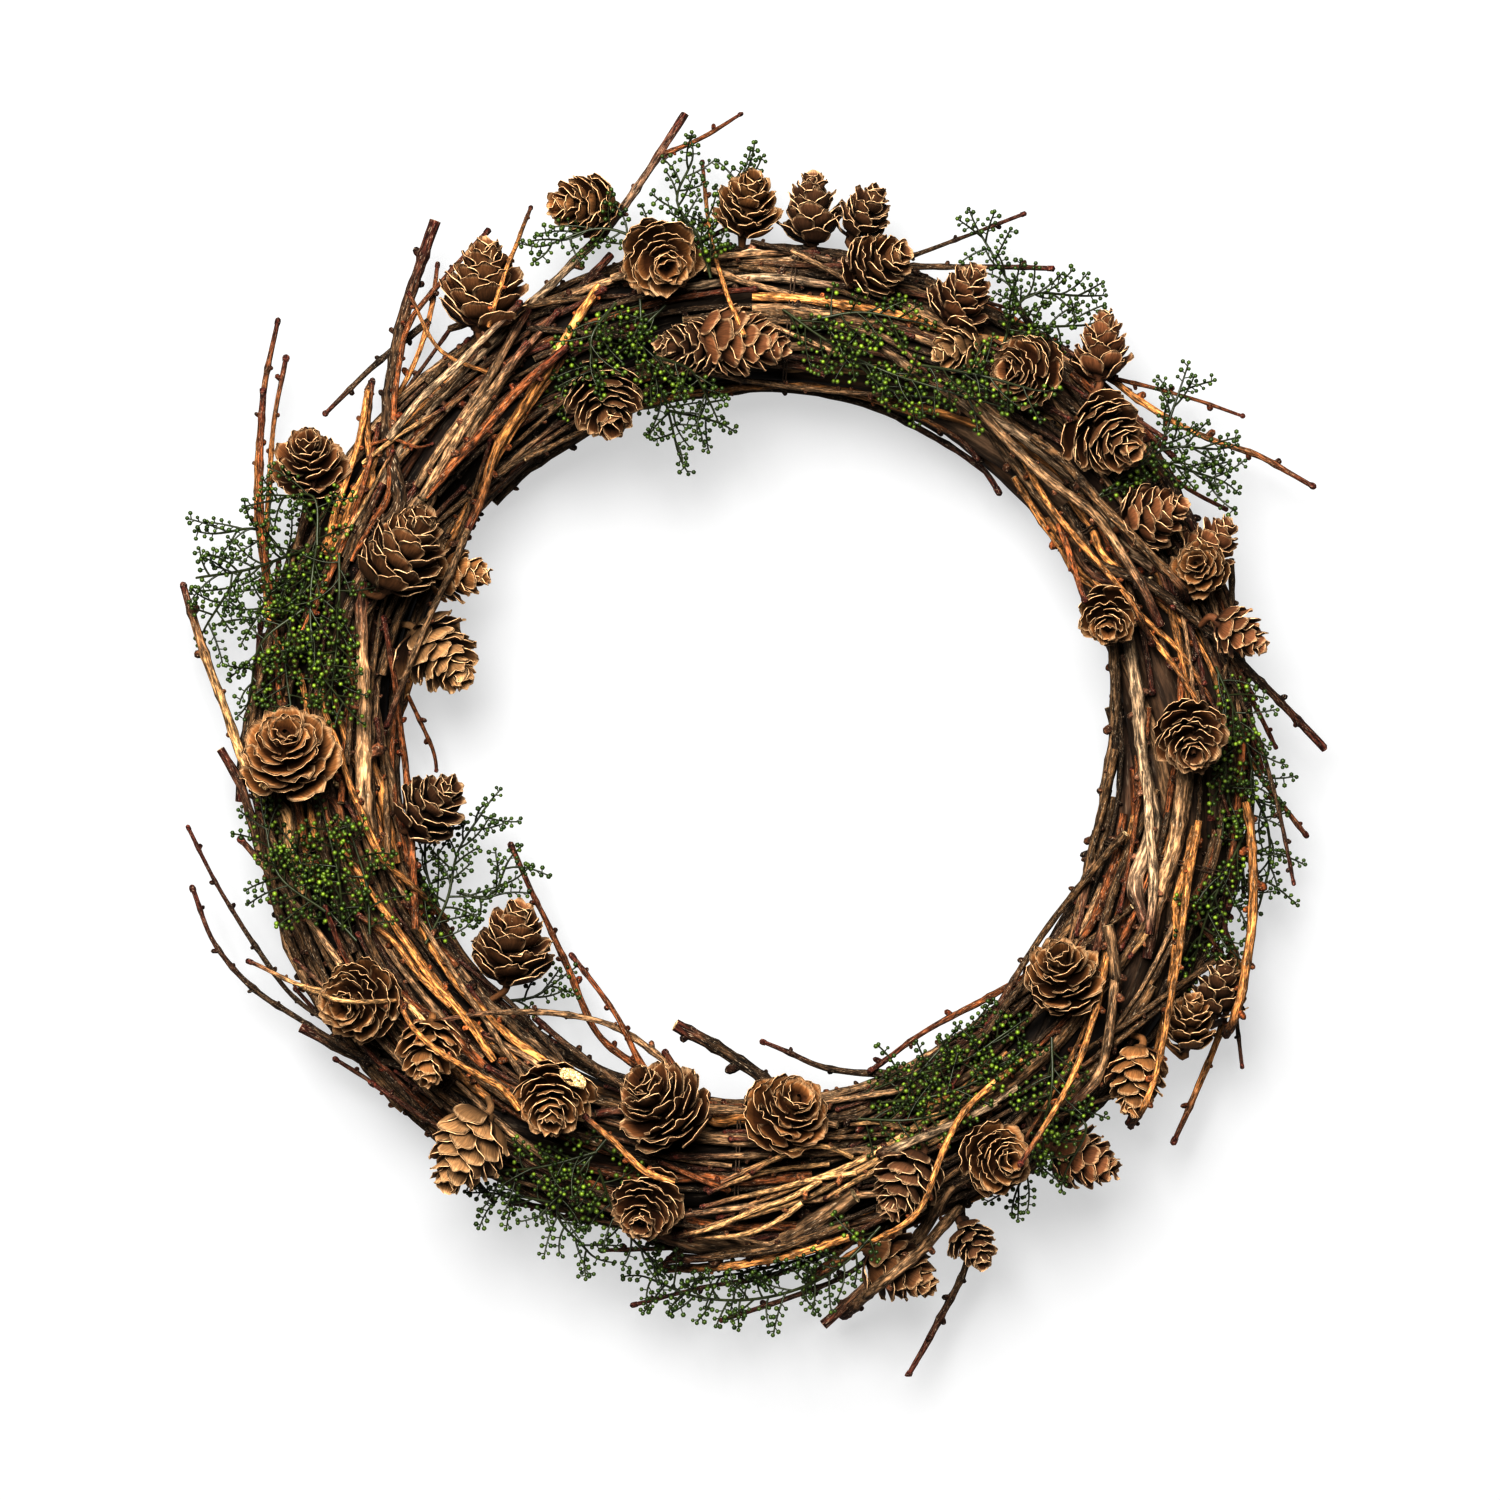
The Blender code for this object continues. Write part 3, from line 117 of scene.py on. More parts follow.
# Twigs by the bundle that ties them, with the angle of its wire. Each twig has the thickness of its butt in mm
# and the bends of its route from butt to tip, each an angle in degrees and a distance in mm.
BUNDLES = {
    "twig_bundle_1": (150, [
        (3.9, [(155, 116), (141, 128), (135, 137), (126, 151), (121, 161)]),
        (2.1, [(151, 122), (143, 126), (133, 132), (125, 144), (123, 151)]),
        (2.1, [(148, 122), (136, 132), (131, 141), (126, 145), (117, 152)]),
        (2.6, [(139, 123), (121, 126), (109, 137), (103, 146), (96, 167)]),
        (2.9, [(175, 93), (159, 90), (143, 93), (124, 107), (108, 125)]),
        (2.3, [(147, 96), (130, 101), (117, 111), (111, 118)]),
        (2.6, [(143, 111), (131, 113), (115, 123), (106, 134)]),
        (2.6, [(147, 114), (131, 111), (118, 121), (114, 124)]),
        (2.3, [(155, 122), (146, 125), (136, 139)]),
    ]),
    "twig_bundle_2": (193, [
        (2.3, [(179, 120), (163, 132), (154, 144), (144, 158), (138, 167)]),
        (2.1, [(172, 118), (165, 130), (157, 138), (144, 154), (140, 159)]),
        (3.1, [(199, 119), (191, 124), (180, 134), (168, 149), (164, 155)]),
        (2.1, [(186, 131), (176, 131), (167, 131)]),
        (2.6, [(200, 99), (188, 100), (173, 104), (163, 110)]),
        (2.1, [(201, 95), (191, 101), (179, 106), (169, 112)]),
        (2.3, [(222, 103), (208, 103), (196, 107), (186, 112)]),
        (4.2, [(196, 104), (172, 102), (157, 110)]),
        (3.1, [(196, 95), (181, 96), (169, 101)]),
    ]),
    "twig_bundle_3": (228, [
        (1.6, [(224, 120), (210, 135), (203, 139), (197, 143), (188, 149)]),
        (2.1, [(225, 123), (217, 131), (205, 146), (199, 150), (194, 151)]),
        (1.8, [(221, 114), (215, 112), (211, 125), (207, 135), (203, 143)]),
        (2.3, [(230, 104), (213, 103), (203, 111)]),
        (2.3, [(235, 112), (225, 115), (216, 117)]),
        (2.6, [(240, 97), (222, 96), (204, 98)]),
        (2.6, [(242, 109), (226, 108), (210, 114)]),
    ]),
    "twig_bundle_4": (268, [
        (2.1, [(272, 92), (259, 85), (247, 80), (228, 92), (219, 115)]),
        (2.3, [(247, 88), (240, 83), (225, 72), (213, 69), (202, 68)]),
        (2.3, [(254, 88), (243, 78), (229, 72)]),
        (2.9, [(276, 89), (263, 79), (254, 75)]),
        (2.6, [(281, 129), (266, 134), (260, 140)]),
        (4.7, [(283, 119), (268, 129), (256, 129)]),
        (2.6, [(281, 103), (262, 103), (244, 105)]),
        (2.6, [(278, 112), (258, 115), (240, 121)]),
    ]),
    "twig_bundle_5": (300, [
        (2.1, [(289, 113), (278, 105), (264, 115)]),
        (2.1, [(290, 112), (277, 114), (266, 122)]),
        (2.1, [(286, 113), (276, 118), (261, 128)]),
        (3.1, [(297, 127), (287, 138), (277, 152)]),
        (2.1, [(310, 107), (302, 107), (292, 121), (281, 133), (276, 140)]),
        (2.1, [(308, 112), (293, 107), (284, 109)]),
        (1.8, [(288, 128), (274, 137), (263, 143), (258, 149)]),
        (2.1, [(290, 130), (280, 140), (267, 150)]),
        (2.6, [(307, 123), (299, 137), (290, 156), (284, 171)]),
        (2.1, [(290, 90), (281, 83), (272, 77)]),
    ]),
    "twig_bundle_6": (345, [
        (2.6, [(350, 127), (337, 139), (328, 144), (317, 151)]),
        (2.3, [(352, 116), (336, 121), (323, 132), (315, 139)]),
        (1.8, [(335, 102), (320, 113), (302, 127)]),
        (2.3, [(332, 100), (312, 89), (298, 87), (290, 90)]),
        (3.1, [(377, 98), (364, 95), (354, 92), (336, 95), (330, 97)]),
        (3.6, [(378, 102), (365, 101), (349, 104), (335, 113)]),
        (3.1, [(366, 114), (348, 112), (332, 116)]),
        (1.6, [(351, 120), (343, 124), (336, 135)]),
    ]),
    "twig_bundle_7": (33, [
        (2.1, [(46, 100), (34, 99), (20, 106), (7, 115), (0, 123)]),
        (2.1, [(29, 105), (15, 113), (5, 121)]),
        (2.1, [(27, 107), (14, 119), (1, 126), (-9, 147)]),
        (1.8, [(24, 110), (13, 124), (0, 137)]),
        (2.6, [(39, 102), (21, 115), (10, 129), (0, 150)]),
        (2.6, [(72, 109), (55, 104), (36, 104), (23, 109)]),
        (2.6, [(59, 105), (43, 108), (24, 114), (18, 123)]),
    ]),
    "twig_bundle_8": (85, [
        (2.6, [(91, 116), (77, 117), (63, 118), (58, 121)]),
        (2.6, [(70, 119), (62, 121), (50, 133), (38, 139), (29, 155), (25, 162)]),
        (1.6, [(80, 127), (72, 136), (63, 157)]),
        (2.1, [(80, 128), (67, 137), (58, 148)]),
        (2.6, [(103, 126), (89, 127), (78, 132)]),
        (2.3, [(101, 121), (86, 122), (77, 123)]),
        (2.1, [(85, 113), (73, 112), (64, 107)]),
    ]),
}

# Side shoots, by bundle and the number of the twig that each grows from. The first bend lies on that twig.
SHOOTS = [
    ("twig_bundle_1", 3, 1.6, [(99, 157), (95, 160), (91, 166)]),
    ("twig_bundle_1", 1, 2.0, [(127, 141), (135, 141), (142, 142)]),
    ("twig_bundle_1", 6, 1.3, [(124, 117), (128, 131), (127, 148)]),
    ("twig_bundle_6", 0, 1.3, [(337, 139), (332, 144), (327, 153)]),
    ("twig_bundle_7", 3, 1.6, [(13, 124), (358, 134), (346, 145)]),
    ("twig_bundle_8", 1, 1.3, [(46, 134), (42, 141), (34, 155)]),
]

# Cones by node. Each has the angle and distance of its middle, the way its tip points in the plane of the
# wreath, how far the tip lifts from that plane, its widest radius in mm and its length in mm.
CONES = {
    "cone_01": [(147, 137, 90, 50, 9.9, 22)],
    "cone_02": [(120, 139, 85, 15, 11.6, 25)],
    "cone_03": [(107, 146, 180, 35, 8.8, 22)],
    "cone_04": [(101, 130, -60, 70, 11.0, 22)],
    "cone_05": [(90, 142, 80, 35, 8.8, 20)],
    "cone_pair_06": [(84, 142, 90, 12, 8.3, 20), (78, 143, 60, 22, 7.5, 17)],
    "cone_07": [(75, 130, 25, 40, 8.8, 20)],
    "cone_pair_08": [(91, 105, -10, 15, 9.7, 25), (99, 105, 180, 25, 8.5, 20)],
    "cone_09": [(113, 97, -75, 35, 10.6, 23)],
    "cone_pair_10": [(65, 130, 60, 25, 8.0, 19), (62, 116, 200, 30, 7.0, 16)],
    "cone_11": [(53, 119, 180, 55, 10.0, 21)],
    "cone_12": [(43, 122, -35, 45, 10.8, 23)],
    "cone_13": [(49, 139, 85, 5, 7.7, 19)],
    "cone_14": [(30, 120, 20, 25, 9.0, 20)],
    "cone_pair_15": [(24, 131, 50, 10, 7.5, 17), (22, 125, 150, 72, 7.8, 16)],
    "cone_16": [(13, 130, -30, 8, 7.0, 16)],
    "cone_17": [(20, 98, -100, 60, 8.3, 18)],
    "cone_18": [(1, 113, -80, 60, 9.5, 21)],
    "cone_19": [(-36, 99, 95, 50, 10.5, 22)],
    "cone_pair_20": [(-32, 134, 80, 30, 7.5, 18), (-27, 137, 75, 10, 7.5, 17)],
    "cone_21": [(-41, 132, -100, 20, 8.5, 20)],
    "cone_22": [(-51, 138, -20, 12, 9.0, 20)],
    "cone_23": [(-61, 122, 0, 65, 9.7, 21)],
    "cone_24": [(-69, 121, -120, 25, 9.3, 21)],
    "cone_pair_25": [(-74, 141, -30, 15, 9.3, 22), (-66, 142, -60, 30, 6.7, 15)],
    "cone_26": [(-84, 94, 60, 55, 11.3, 22)],
    "cone_27": [(-105, 95, 125, 40, 12.0, 26)],
    "cone_28": [(-103, 122, -110, 60, 9.5, 20)],
    "cone_29": [(-120, 106, -95, 55, 10.5, 22)],
    "cone_30": [(-125, 127, -120, 14, 10.8, 24)],
    "cone_31": [(-137, 115, -95, 30, 8.7, 19)],
    "cone_32": [(-147, 121, 200, 65, 11.0, 22)],
    "cone_33": [(-141, 80, 80, 20, 11.2, 24)],
    "cone_34": [(190, 84, 45, 30, 9.2, 21)],
    "cone_35": [(180, 120, 90, 60, 12.5, 24)],
    "cone_36": [(163, 84, -45, 20, 10.6, 22)],
    "cone_pair_37": [(150, 103, 60, 25, 11.3, 27), (150, 88, 0, 10, 8.0, 18)],
}

# The bark of each twig above, in the same order: orange, dark, red, pale, grey or yellow
TWIG_BARKS = {
    "twig_bundle_1": "dorpooggo",
    "twig_bundle_2": "ooydooogg",
    "twig_bundle_3": "ddyoogr",
    "twig_bundle_4": "grroyggr",
    "twig_bundle_5": "yyygogdddd",
    "twig_bundle_6": "ooorgpgr",
    "twig_bundle_7": "ooordgp",
    "twig_bundle_8": "goddppg",
}
SHOOT_BARKS = "rdoddr"

# Sprays of greenery: the routes of their stems from the root outwards. A second route starts on the first.
SPRAYS = {
    "spray_01": [[(95, 122), (96, 134), (98, 146), (96, 153)]],
    "spray_02": [[(104, 120), (105, 108), (106, 99), (103, 90), (104, 80)], [(103, 90), (97, 86)]],
    "spray_03": [[(86, 114), (76, 105), (66, 104), (56, 108)]],
    "spray_04": [[(58, 122), (59, 132), (58, 141), (54, 146)]],
    "spray_05": [[(36, 108), (36, 120), (36, 132), (33, 143)], [(36, 128), (30, 140)]],
    "spray_06": [[(156, 127), (161, 141), (163, 152)], [(161, 141), (167, 146)]],
    "spray_07": [[(153, 126), (161, 121), (169, 115), (174, 106)]],
    "spray_08": [[(206, 114), (199, 119), (192, 122)]],
    "spray_09": [[(211, 99), (206, 88), (198, 80), (193, 72)]],
    "spray_10": [[(250, 106), (248, 118), (247, 130), (252, 138)], [(247, 128), (240, 134)]],
    "spray_11": [[(285, 128), (277, 139), (267, 144), (259, 141)]],
    "spray_12": [[(286, 95), (293, 94), (304, 98), (312, 99)]],
    "spray_13": [[(316, 108), (311, 118), (306, 126), (301, 134)]],
    "spray_14": [[(10, 122), (358, 130), (348, 132), (338, 132)]],
}
# Further stems of the same sprays, which only the scene has
MORE_STEMS = {
    "spray_01": [[(101, 133), (105, 140), (112, 141)], [(98, 128), (94, 137), (91, 150)]],
    "spray_02": [[(101, 117), (110, 108), (118, 106)], [(104, 104), (98, 97), (97, 90)],
                 [(107, 120), (112, 112), (113, 103)], [(101, 122), (99, 112), (108, 97)]],
    "spray_03": [[(82, 112), (77, 116), (70, 118)], [(79, 109), (70, 100), (62, 103)],
                 [(66, 108), (59, 112), (52, 117)]],
    "spray_04": [[(60, 128), (55, 134), (52, 140)], [(58, 134), (63, 142), (66, 147)]],
    "spray_05": [[(34, 116), (30, 127), (27, 133)], [(36, 132), (38, 138), (40, 146)]],
    "spray_06": [[(158, 130), (156, 143), (158, 150)], [(155, 124), (150, 132), (153, 141)]],
    "spray_07": [[(158, 124), (167, 124), (175, 120)], [(155, 118), (163, 112), (172, 110)],
                 [(163, 122), (168, 130), (174, 131)], [(158, 120), (161, 130), (166, 134)]],
    "spray_08": [[(204, 116), (197, 112), (190, 112)], [(201, 118), (195, 127), (188, 128)],
                 [(206, 110), (200, 106), (193, 106)]],
    "spray_09": [[(207, 92), (200, 91), (194, 88)], [(206, 86), (210, 78), (206, 72)],
                 [(226, 92), (229, 86), (230, 80)]],
    "spray_10": [[(249, 112), (243, 122), (237, 131)], [(250, 116), (254, 127), (259, 136)],
                 [(246, 124), (236, 126), (232, 131)]],
    "spray_11": [[(282, 132), (272, 136), (264, 140)]],
    "spray_12": [[(290, 98), (300, 103), (309, 105)], [(296, 96), (304, 92), (311, 94)],
                 [(286, 100), (292, 104), (300, 108)]],
    "spray_13": [[(313, 112), (305, 117), (300, 125)], [(310, 120), (312, 129), (307, 136)]],
    "spray_14": [[(6, 124), (0, 122), (352, 126)], [(356, 130), (350, 138), (343, 139)],
                 [(350, 130), (341, 126), (334, 128)]],
}

# Barks by letter, as linear colours: orange, red, dark, brown, pale, grey and yellow
BARKS = {
    "o": (0.31, 0.148, 0.050),
    "r": (0.15, 0.055, 0.019),
    "d": (0.042, 0.024, 0.012),
    "b": (0.085, 0.048, 0.022),
    "p": (0.26, 0.180, 0.110),
    "g": (0.19, 0.115, 0.060),
    "y": (0.35, 0.210, 0.095),
}
TIP_BARK = (0.060, 0.016, 0.010)
TIP_DARK_FROM = 0.68
CUT_WOOD = (0.46, 0.34, 0.19)
FLECK_TINT = (0.66, 0.52, 0.36)
GRAIN_STRETCH = 0.16
# How far inside the part's box every piece stays
BOX_MARGIN = 0.0001

# Twigs: how they wander, their knots with a swelling and a spur, and the size of spur and end bud
WANDER = 0.30
WANDER_WIDEST = 0.0012
FIRST_NODE = (0.003, 0.008)
NODE_SPACING = (0.006, 0.013)
LAST_NODE = 0.003
NODE_SWELL, SWELL_REACH = 0.28, 0.0011
NODE_DARK, DARK_REACH = 0.45, 0.0009
SPUR_LEAN = 1.05
SPUR_BASE = 0.00055
SPUR_DARK = (0.6, 0.42, 0.38)
END_BUD = 0.00018
BUD_HEIGHTS, BUD_WIDTHS = (-0.3, 0.35, 0.8, 1.0), (0.85, 1.0, 0.85, 0.35)
BUD_SIDES = 6
# A tip at least this thick is a cut end, and such a twig keeps more of its thickness
CUT_TIP = 0.00082
CUT_FULL = 0.35
# Painted shade: darker on the underside of every rod, and on what lies deep between the twigs
UNDERSIDE_PAINTED_SHADE, UNDER_FROM = 0.80, 0.55
DEEP_FROM, DEEP_OVER, DEEP_PAINTED_SHADE = 0.0160, 0.0040, 0.22

# The hoop's stems, and the thin ones in the grooves between them
HOOP_STEPS = 260
STEM_THICK = 0.0060
HOOP_BARKS = ((0.046, 0.026, 0.014), (0.062, 0.036, 0.020), (0.034, 0.019, 0.011), (0.070, 0.044, 0.026))
GROOVE_STEMS = 14
GROOVE_RHO = 0.0148
# Painted shade on the thin stems that lie down in the grooves
GROOVE_PAINTED_SHADE = 0.75
GROOVE_LENGTH = (1.6, 4.6)
GROOVE_STEPS = 42
GROOVE_THICK = (0.0010, 0.0021)
GROOVE_BARKS = "grdgryod"

# The spread of the thin twigs: even steps round the ring and round its section that never repeat
STEP_ROUND, STEP_ACROSS = 0.618034, 0.754878

# Finer twigs that cover the hoop between the laid ones
FILL_COUNT = 190
FILL_SIDES = (-30, 200)
FILL_LENGTH = (0.055, 0.15)
FILL_RADIUS = (0.0007, 0.00145)
FILL_DRIFT = 0.5
FILL_LEAVES = (0.0, 0.0, 0.003, 0.008)
FILL_BARKS = "dbgbdbrbdgbobdgbdbgrdbb"
WRAP_STEP = 0.0035
WRAP_REACH = 0.0026
WRAP_ROUNDS = 5
WRAP_GAP, WRAP_LIFT = 0.0001, 0.0012
# Where the hoop shows bare: the angles in degrees, the side of its section and how far in from its middle
BARE_MIDDLE, BARE_SPAN, BARE_EASE = 30, 45, 22
BARE_FROM, BARE_CLEAR = 100, 0.006
# Painted shade on the hoop's stems where twigs cover them
COVERED_PAINTED_SHADE = 0.8

# The finer binding wires: how far out they run at each side of the hoop's section, in degrees
WIRE_TINT = (0.05, 0.030, 0.018)
WIRE_SIDES = (-35, -5, 20, 150, 175, 215)
WIRE_REACHES = (0.0163, 0.0169, 0.0194, 0.0190, 0.0166, 0.0160)
WIRE_STEPS = 40
WIRE_THIN = 0.00022
WIRE_APART = 0.45

# Straight sticks across the ring's bend
STICK_COUNT = 130
STICK_SPREAD = 0.021
STICK_LENGTH = (0.040, 0.095)
STICK_TURN = 11
STICK_STEP = 0.005
STICK_BOW = 0.05
STICK_THICK = (0.0006, 0.00110)
STICK_CAP = 0.0362
STICK_OUT = 0.137
STICK_IN = 0.090
STICK_BARKS = "bdgbrdgbbgdbrbgdb"

# Sticks that lie over twigs and cones, by bundle: bark, thickness and the bends of the route, from the hoop's
# centre in mm
OVER_STEP = 0.004
OVER_GAP = 0.0007
OVER_LEAST = 0.008
OVER_STICKS = {
    "twig_bundle_1": (
        ("o", 2.4, ((-40, 120), (-51, 102), (-58, 90), (-66, 78), (-70, 66), (-74, 57))),
        ("g", 2.0, ((-74, 57), (-78, 45), (-82, 37), (-91, 16), (-95, 6))),
        ("o", 1.3, ((-68, 109), (-63, 125), (-58, 142))),
        ("o", 1.3, ((-2, 106), (-8, 122), (-11, 135), (-13, 154))),
        ("o", 2.0, ((-111, 51), (-106, 68), (-102, 80), (-100, 96))),
        ("p", 2.0, ((-94, 80), (-87, 89), (-74, 101), (-60, 115))),
        ("g", 2.2, ((-87, 68), (-77, 83), (-69, 95), (-58, 114))),
        ("g", 2.2, ((-85, 64), (-74, 83), (-67, 93), (-58, 105))),
        ("r", 2.4, ((-84, 64), (-70, 81), (-61, 92), (-48, 104))),
        ("y", 1.4, ((-101, 74), (-90, 82), (-80, 88))),
        ("y", 1.2, ((-106, 54), (-99, 66), (-93, 77))),
        ("r", 1.0, ((-99, 79), (-93, 80), (-87, 78), (-83, 79))),
    ),
    "twig_bundle_2": (
        ("o", 1.9, ((-97, -27), (-104, -10), (-107, 0), (-111, 11), (-111, 21))),
        ("r", 1.1, ((-90, 14), (-84, 0), (-83, -6))),
        ("o", 1.8, ((-80, -45), (-88, -36), (-97, -27), (-104, -10))),
    ),
    "twig_bundle_3": (
        ("o", 2.0, ((-67, -81), (-76, -68), (-84, -59), (-91, -48), (-99, -37), (-104, -29), (-109, -22),
                    (-111, -13))),
        ("o", 1.8, ((-78, -67), (-87, -58), (-94, -49), (-102, -43))),
        ("o", 1.9, ((-60, -93), (-65, -87), (-78, -80), (-88, -71), (-91, -65))),
        ("y", 1.4, ((-91, -65), (-104, -65), (-120, -62))),
    ),
    "twig_bundle_4": (
        ("o", 2.0, ((-20, -112), (-28, -109), (-35, -102), (-43, -95))),
        ("r", 1.6, ((-6, -115), (-15, -111), (-24, -107))),
    ),
    "twig_bundle_5": (
        ("y", 1.4, ((26, -106), (18, -103), (8, -105), (0, -110))),
        ("y", 1.5, ((20, -108), (8, -109), (-1, -111), (-11, -115))),
        ("y", 1.6, ((27, -110), (15, -112), (4, -115), (-5, -117), (-13, -119))),
        ("y", 1.6, ((18, -112), (9, -117), (0, -120), (-9, -124), (-20, -127))),
        ("y", 1.6, ((13, -118), (6, -123), (-2, -126), (-16, -128))),
        ("y", 1.6, ((32, -109), (25, -113), (19, -117))),
        ("y", 1.3, ((42, -99), (32, -97), (25, -98))),
        ("p", 2.2, ((63, -92), (52, -97), (42, -101), (33, -105))),
        ("p", 1.5, ((69, -88), (61, -93), (52, -97))),
        ("o", 1.8, ((70, -81), (61, -88), (54, -95), (48, -107), (45, -115), (41, -121), (32, -127),
                    (22, -134), (15, -140))),
        ("o", 2.2, ((25, -127), (4, -133), (-23, -137))),
        ("b", 2.2, ((25, -124), (5, -130), (-22, -134))),
        ("g", 2.8, ((54, -120), (45, -129), (33, -139), (24, -149))),
    ),
    "twig_bundle_6": (
        ("o", 1.8, ((92, -53), (89, -67), (84, -82), (78, -93), (69, -107))),
        ("o", 2.1, ((116, -19), (113, -36), (111, -50), (109, -63), (106, -78), (103, -88), (99, -99))),
        ("p", 2.4, ((102, -6), (103, -21), (104, -35), (103, -48))),
        ("y", 1.5, ((103, -46), (102, -49), (98, -54))),
        ("o", 2.4, ((128, -14), (130, -24), (130, -44), (128, -60), (124, -75))),
        ("g", 3.0, ((92, -46), (94, -55), (95, -63))),
        ("g", 2.5, ((94, -60), (92, -76), (89, -86), (82, -93))),
    ),
    "twig_bundle_7": (
        ("g", 2.6, ((56, 90), (67, 79), (76, 70), (89, 60), (99, 45), (106, 32))),
        ("o", 1.9, ((70, 76), (77, 63), (84, 54), (97, 39), (104, 27))),
        ("b", 2.4, ((73, 81), (81, 74), (93, 60), (105, 48), (113, 39))),
        ("r", 2.0, ((80, 58), (84, 45), (86, 38))),
    ),
}
# Sticks that stand free of the ring, so that their bends have a height too
FREE_STICKS = {
    "twig_bundle_2": (
        ("d", 2.5, ((-129, 24, 19), (-130, 15, 17), (-133, -1, 15), (-134, -14, 14))),
        ("r", 2.0, ((-124, 25, 20), (-127, 49, 24), (-128, 70, 28), (-127, 93, 31))),
    ),
    "twig_bundle_4": (
        ("d", 2.9, ((6, -88, 29), (-8, -79, 31), (-20, -72, 33))),
    ),
    "twig_bundle_3": (
        ("d", 2.7, ((-89, -87, 19), (-104, -80, 18), (-118, -73, 18))),
        ("d", 2.2, ((-106, -54, 22), (-117, -53, 21))),
    ),
}
# Chips of wood and loose bracts, by bundle: place and heading in degrees, then length and width, all in mm
CHIPS = {
    "twig_bundle_2": ((-126, -10, 45, 7.5, 2.6), (-109, -7, -56, 7.8, 3.6)),
    "twig_bundle_4": ((-46, -85, -32, 8.6, 4.2),),
}
CHIP_THICK = 0.0006
CHIP_SIDES = 12
CHIP_HEIGHTS, CHIP_WIDTHS = (-1, -0.4, 0.5, 1), (0.8, 1, 0.96, 0.7)
CHIP_TINT = (0.52, 0.36, 0.18)

# Cones: scales in a golden spiral, each a small grid of points. The count is that of a cone of the usual length.
SCALES = 36
USUAL_LENGTH = 0.022
SCALE_RISE = 0.27
SCALE_CUP = 0.95
CROWN = 0.30
GOLDEN_TURN = 2.39996
SCALE_ACROSS = 6
SCALE_ROWS = (0.0, 0.28, 0.52, 0.74, 0.90, 1.0)
ROUND_END = -0.10
SCALE_THICK = 0.00038
SCALE_BROAD = 0.46
SCALE_TAPER = 0.16
OUTLINE_AT, OUTLINE_WIDTHS = (0, 0.3, 0.55, 0.75, 0.9, 1.0), (0.35, 0.68, 0.93, 1.0, 0.86, 0.45)
RIM_FROM, RIM_OVER = 0.72, 0.28
RIM_OUT = 0.10
RIM_WAVE = 0.030
RIM_RAGGED = 0.010
# Painted shade and light on the scales: the back of each scale dark towards its root and lighter at its end as if
# lit, and the front dark near its root
INNER_PAINTED_SHADE = (0.20, 0.15, 0.12)
INNER_END_PAINTED_LIGHT = (1.10, 1.04, 0.95)
ROOT_PAINTED_SHADE, ROOT_OVER = 0.14, 0.90
RIM_TINT = (0.76, 0.53, 0.31)
RIM_SHARE = 0.80
CORE_HEIGHT = 0.86
CORE_WIDTHS = (0.20, 0.30, 0.30, 0.27, 0.22, 0.16, 0.05)
CORE_SHADE, STALK_SHADE = 0.4, 0.8
STALK_THICK = (0.0012, 0.0008)
SCALE_TINTS = {
    "m": (0.150, 0.070, 0.029),
    "g": (0.205, 0.100, 0.038),
    "d": (0.100, 0.048, 0.023),
    "p": (0.270, 0.155, 0.072),
    "r": (0.155, 0.067, 0.029),
}
# The tone of each cone: medium, golden, dark, pale or reddish
CONE_TONES = {
    "cone_01": "m", "cone_02": "m", "cone_03": "g", "cone_04": "g", "cone_05": "g", "cone_pair_06": "dd",
    "cone_07": "m", "cone_pair_08": "rd", "cone_09": "m", "cone_pair_10": "rp", "cone_11": "m",
    "cone_12": "m", "cone_13": "r", "cone_14": "r", "cone_pair_15": "rg", "cone_16": "r", "cone_17": "g",
    "cone_18": "m", "cone_19": "g", "cone_pair_20": "gd", "cone_21": "g", "cone_22": "r", "cone_23": "g",
    "cone_24": "d", "cone_pair_25": "md", "cone_26": "g", "cone_27": "m", "cone_28": "m", "cone_29": "g",
    "cone_30": "p", "cone_31": "g", "cone_32": "g", "cone_33": "m", "cone_34": "d", "cone_35": "g",
    "cone_36": "p", "cone_pair_37": "mg",
}

# Greenery: many short sprigs of berries
SPRIG_STEP = 0.0023
SPRIG_RADIUS = 0.00028
SPRIG_PRESS = 0.0010
SPRIG_MARGIN = 0.0022
BERRY_SIZE = 0.00074
BERRY_STALK = 0.0011
BERRY_SPACING = 0.0014
BERRY_TINT = (0.030, 0.053, 0.008)
BRIGHT_FEW = 2.0
STEM_TINT = (0.026, 0.032, 0.009)
DARK_BERRY, BRIGHT_BERRY = (0.50, 0.54, 0.36), (3.4, 2.7, 1.5)
# Beside the ring hardly a berry is bright
RING_HALF, BESIDE_SHARE = 0.019, 0.25
# Painted light on a berry, which has two rings of points, then its lowest and its highest point: dark below,
# bright on top
BALL_PAINTED_LIGHT = np.array([0.30] * 6 + [0.9] * 6 + [0.25, 1.9])
# Sprigs keep clear of the cones, apart from those that greenery lies over
CLEAR_SHARE = 0.95
GREEN_OVER = ("cone_09", "cone_34", "cone_pair_25")

# Stage: the camera looks straight down on the hoop's middle. Lengths in metres, lamps in watts.
CAMERA_HEIGHT = 2.2
VIEW_PLANE = 0.03
FRAME_WIDTH = 0.390
VIEW_MIDDLE = (-0.00052, -0.00052)
SENSOR = 36
FLOOR_HALF = 4
FLOOR_TINT = (0.12, 0.12, 0.12)
FLOOR_GLOW = 0.66
LIGHTS = (("key", (-0.30, 0.85, 1.8), 1.2, 165), ("fill", (0.5, -1.3, 0.7), 1.2, 7))
WORLD_STRENGTH = 0.08
VIEW_GAMMA = 0.71


def spot(angle, radius):
    """The point in the plane of the wreath at an angle in degrees and a distance in metres."""
    turn = math.radians(angle)
    return np.array((radius * math.cos(turn), radius * math.sin(turn)))


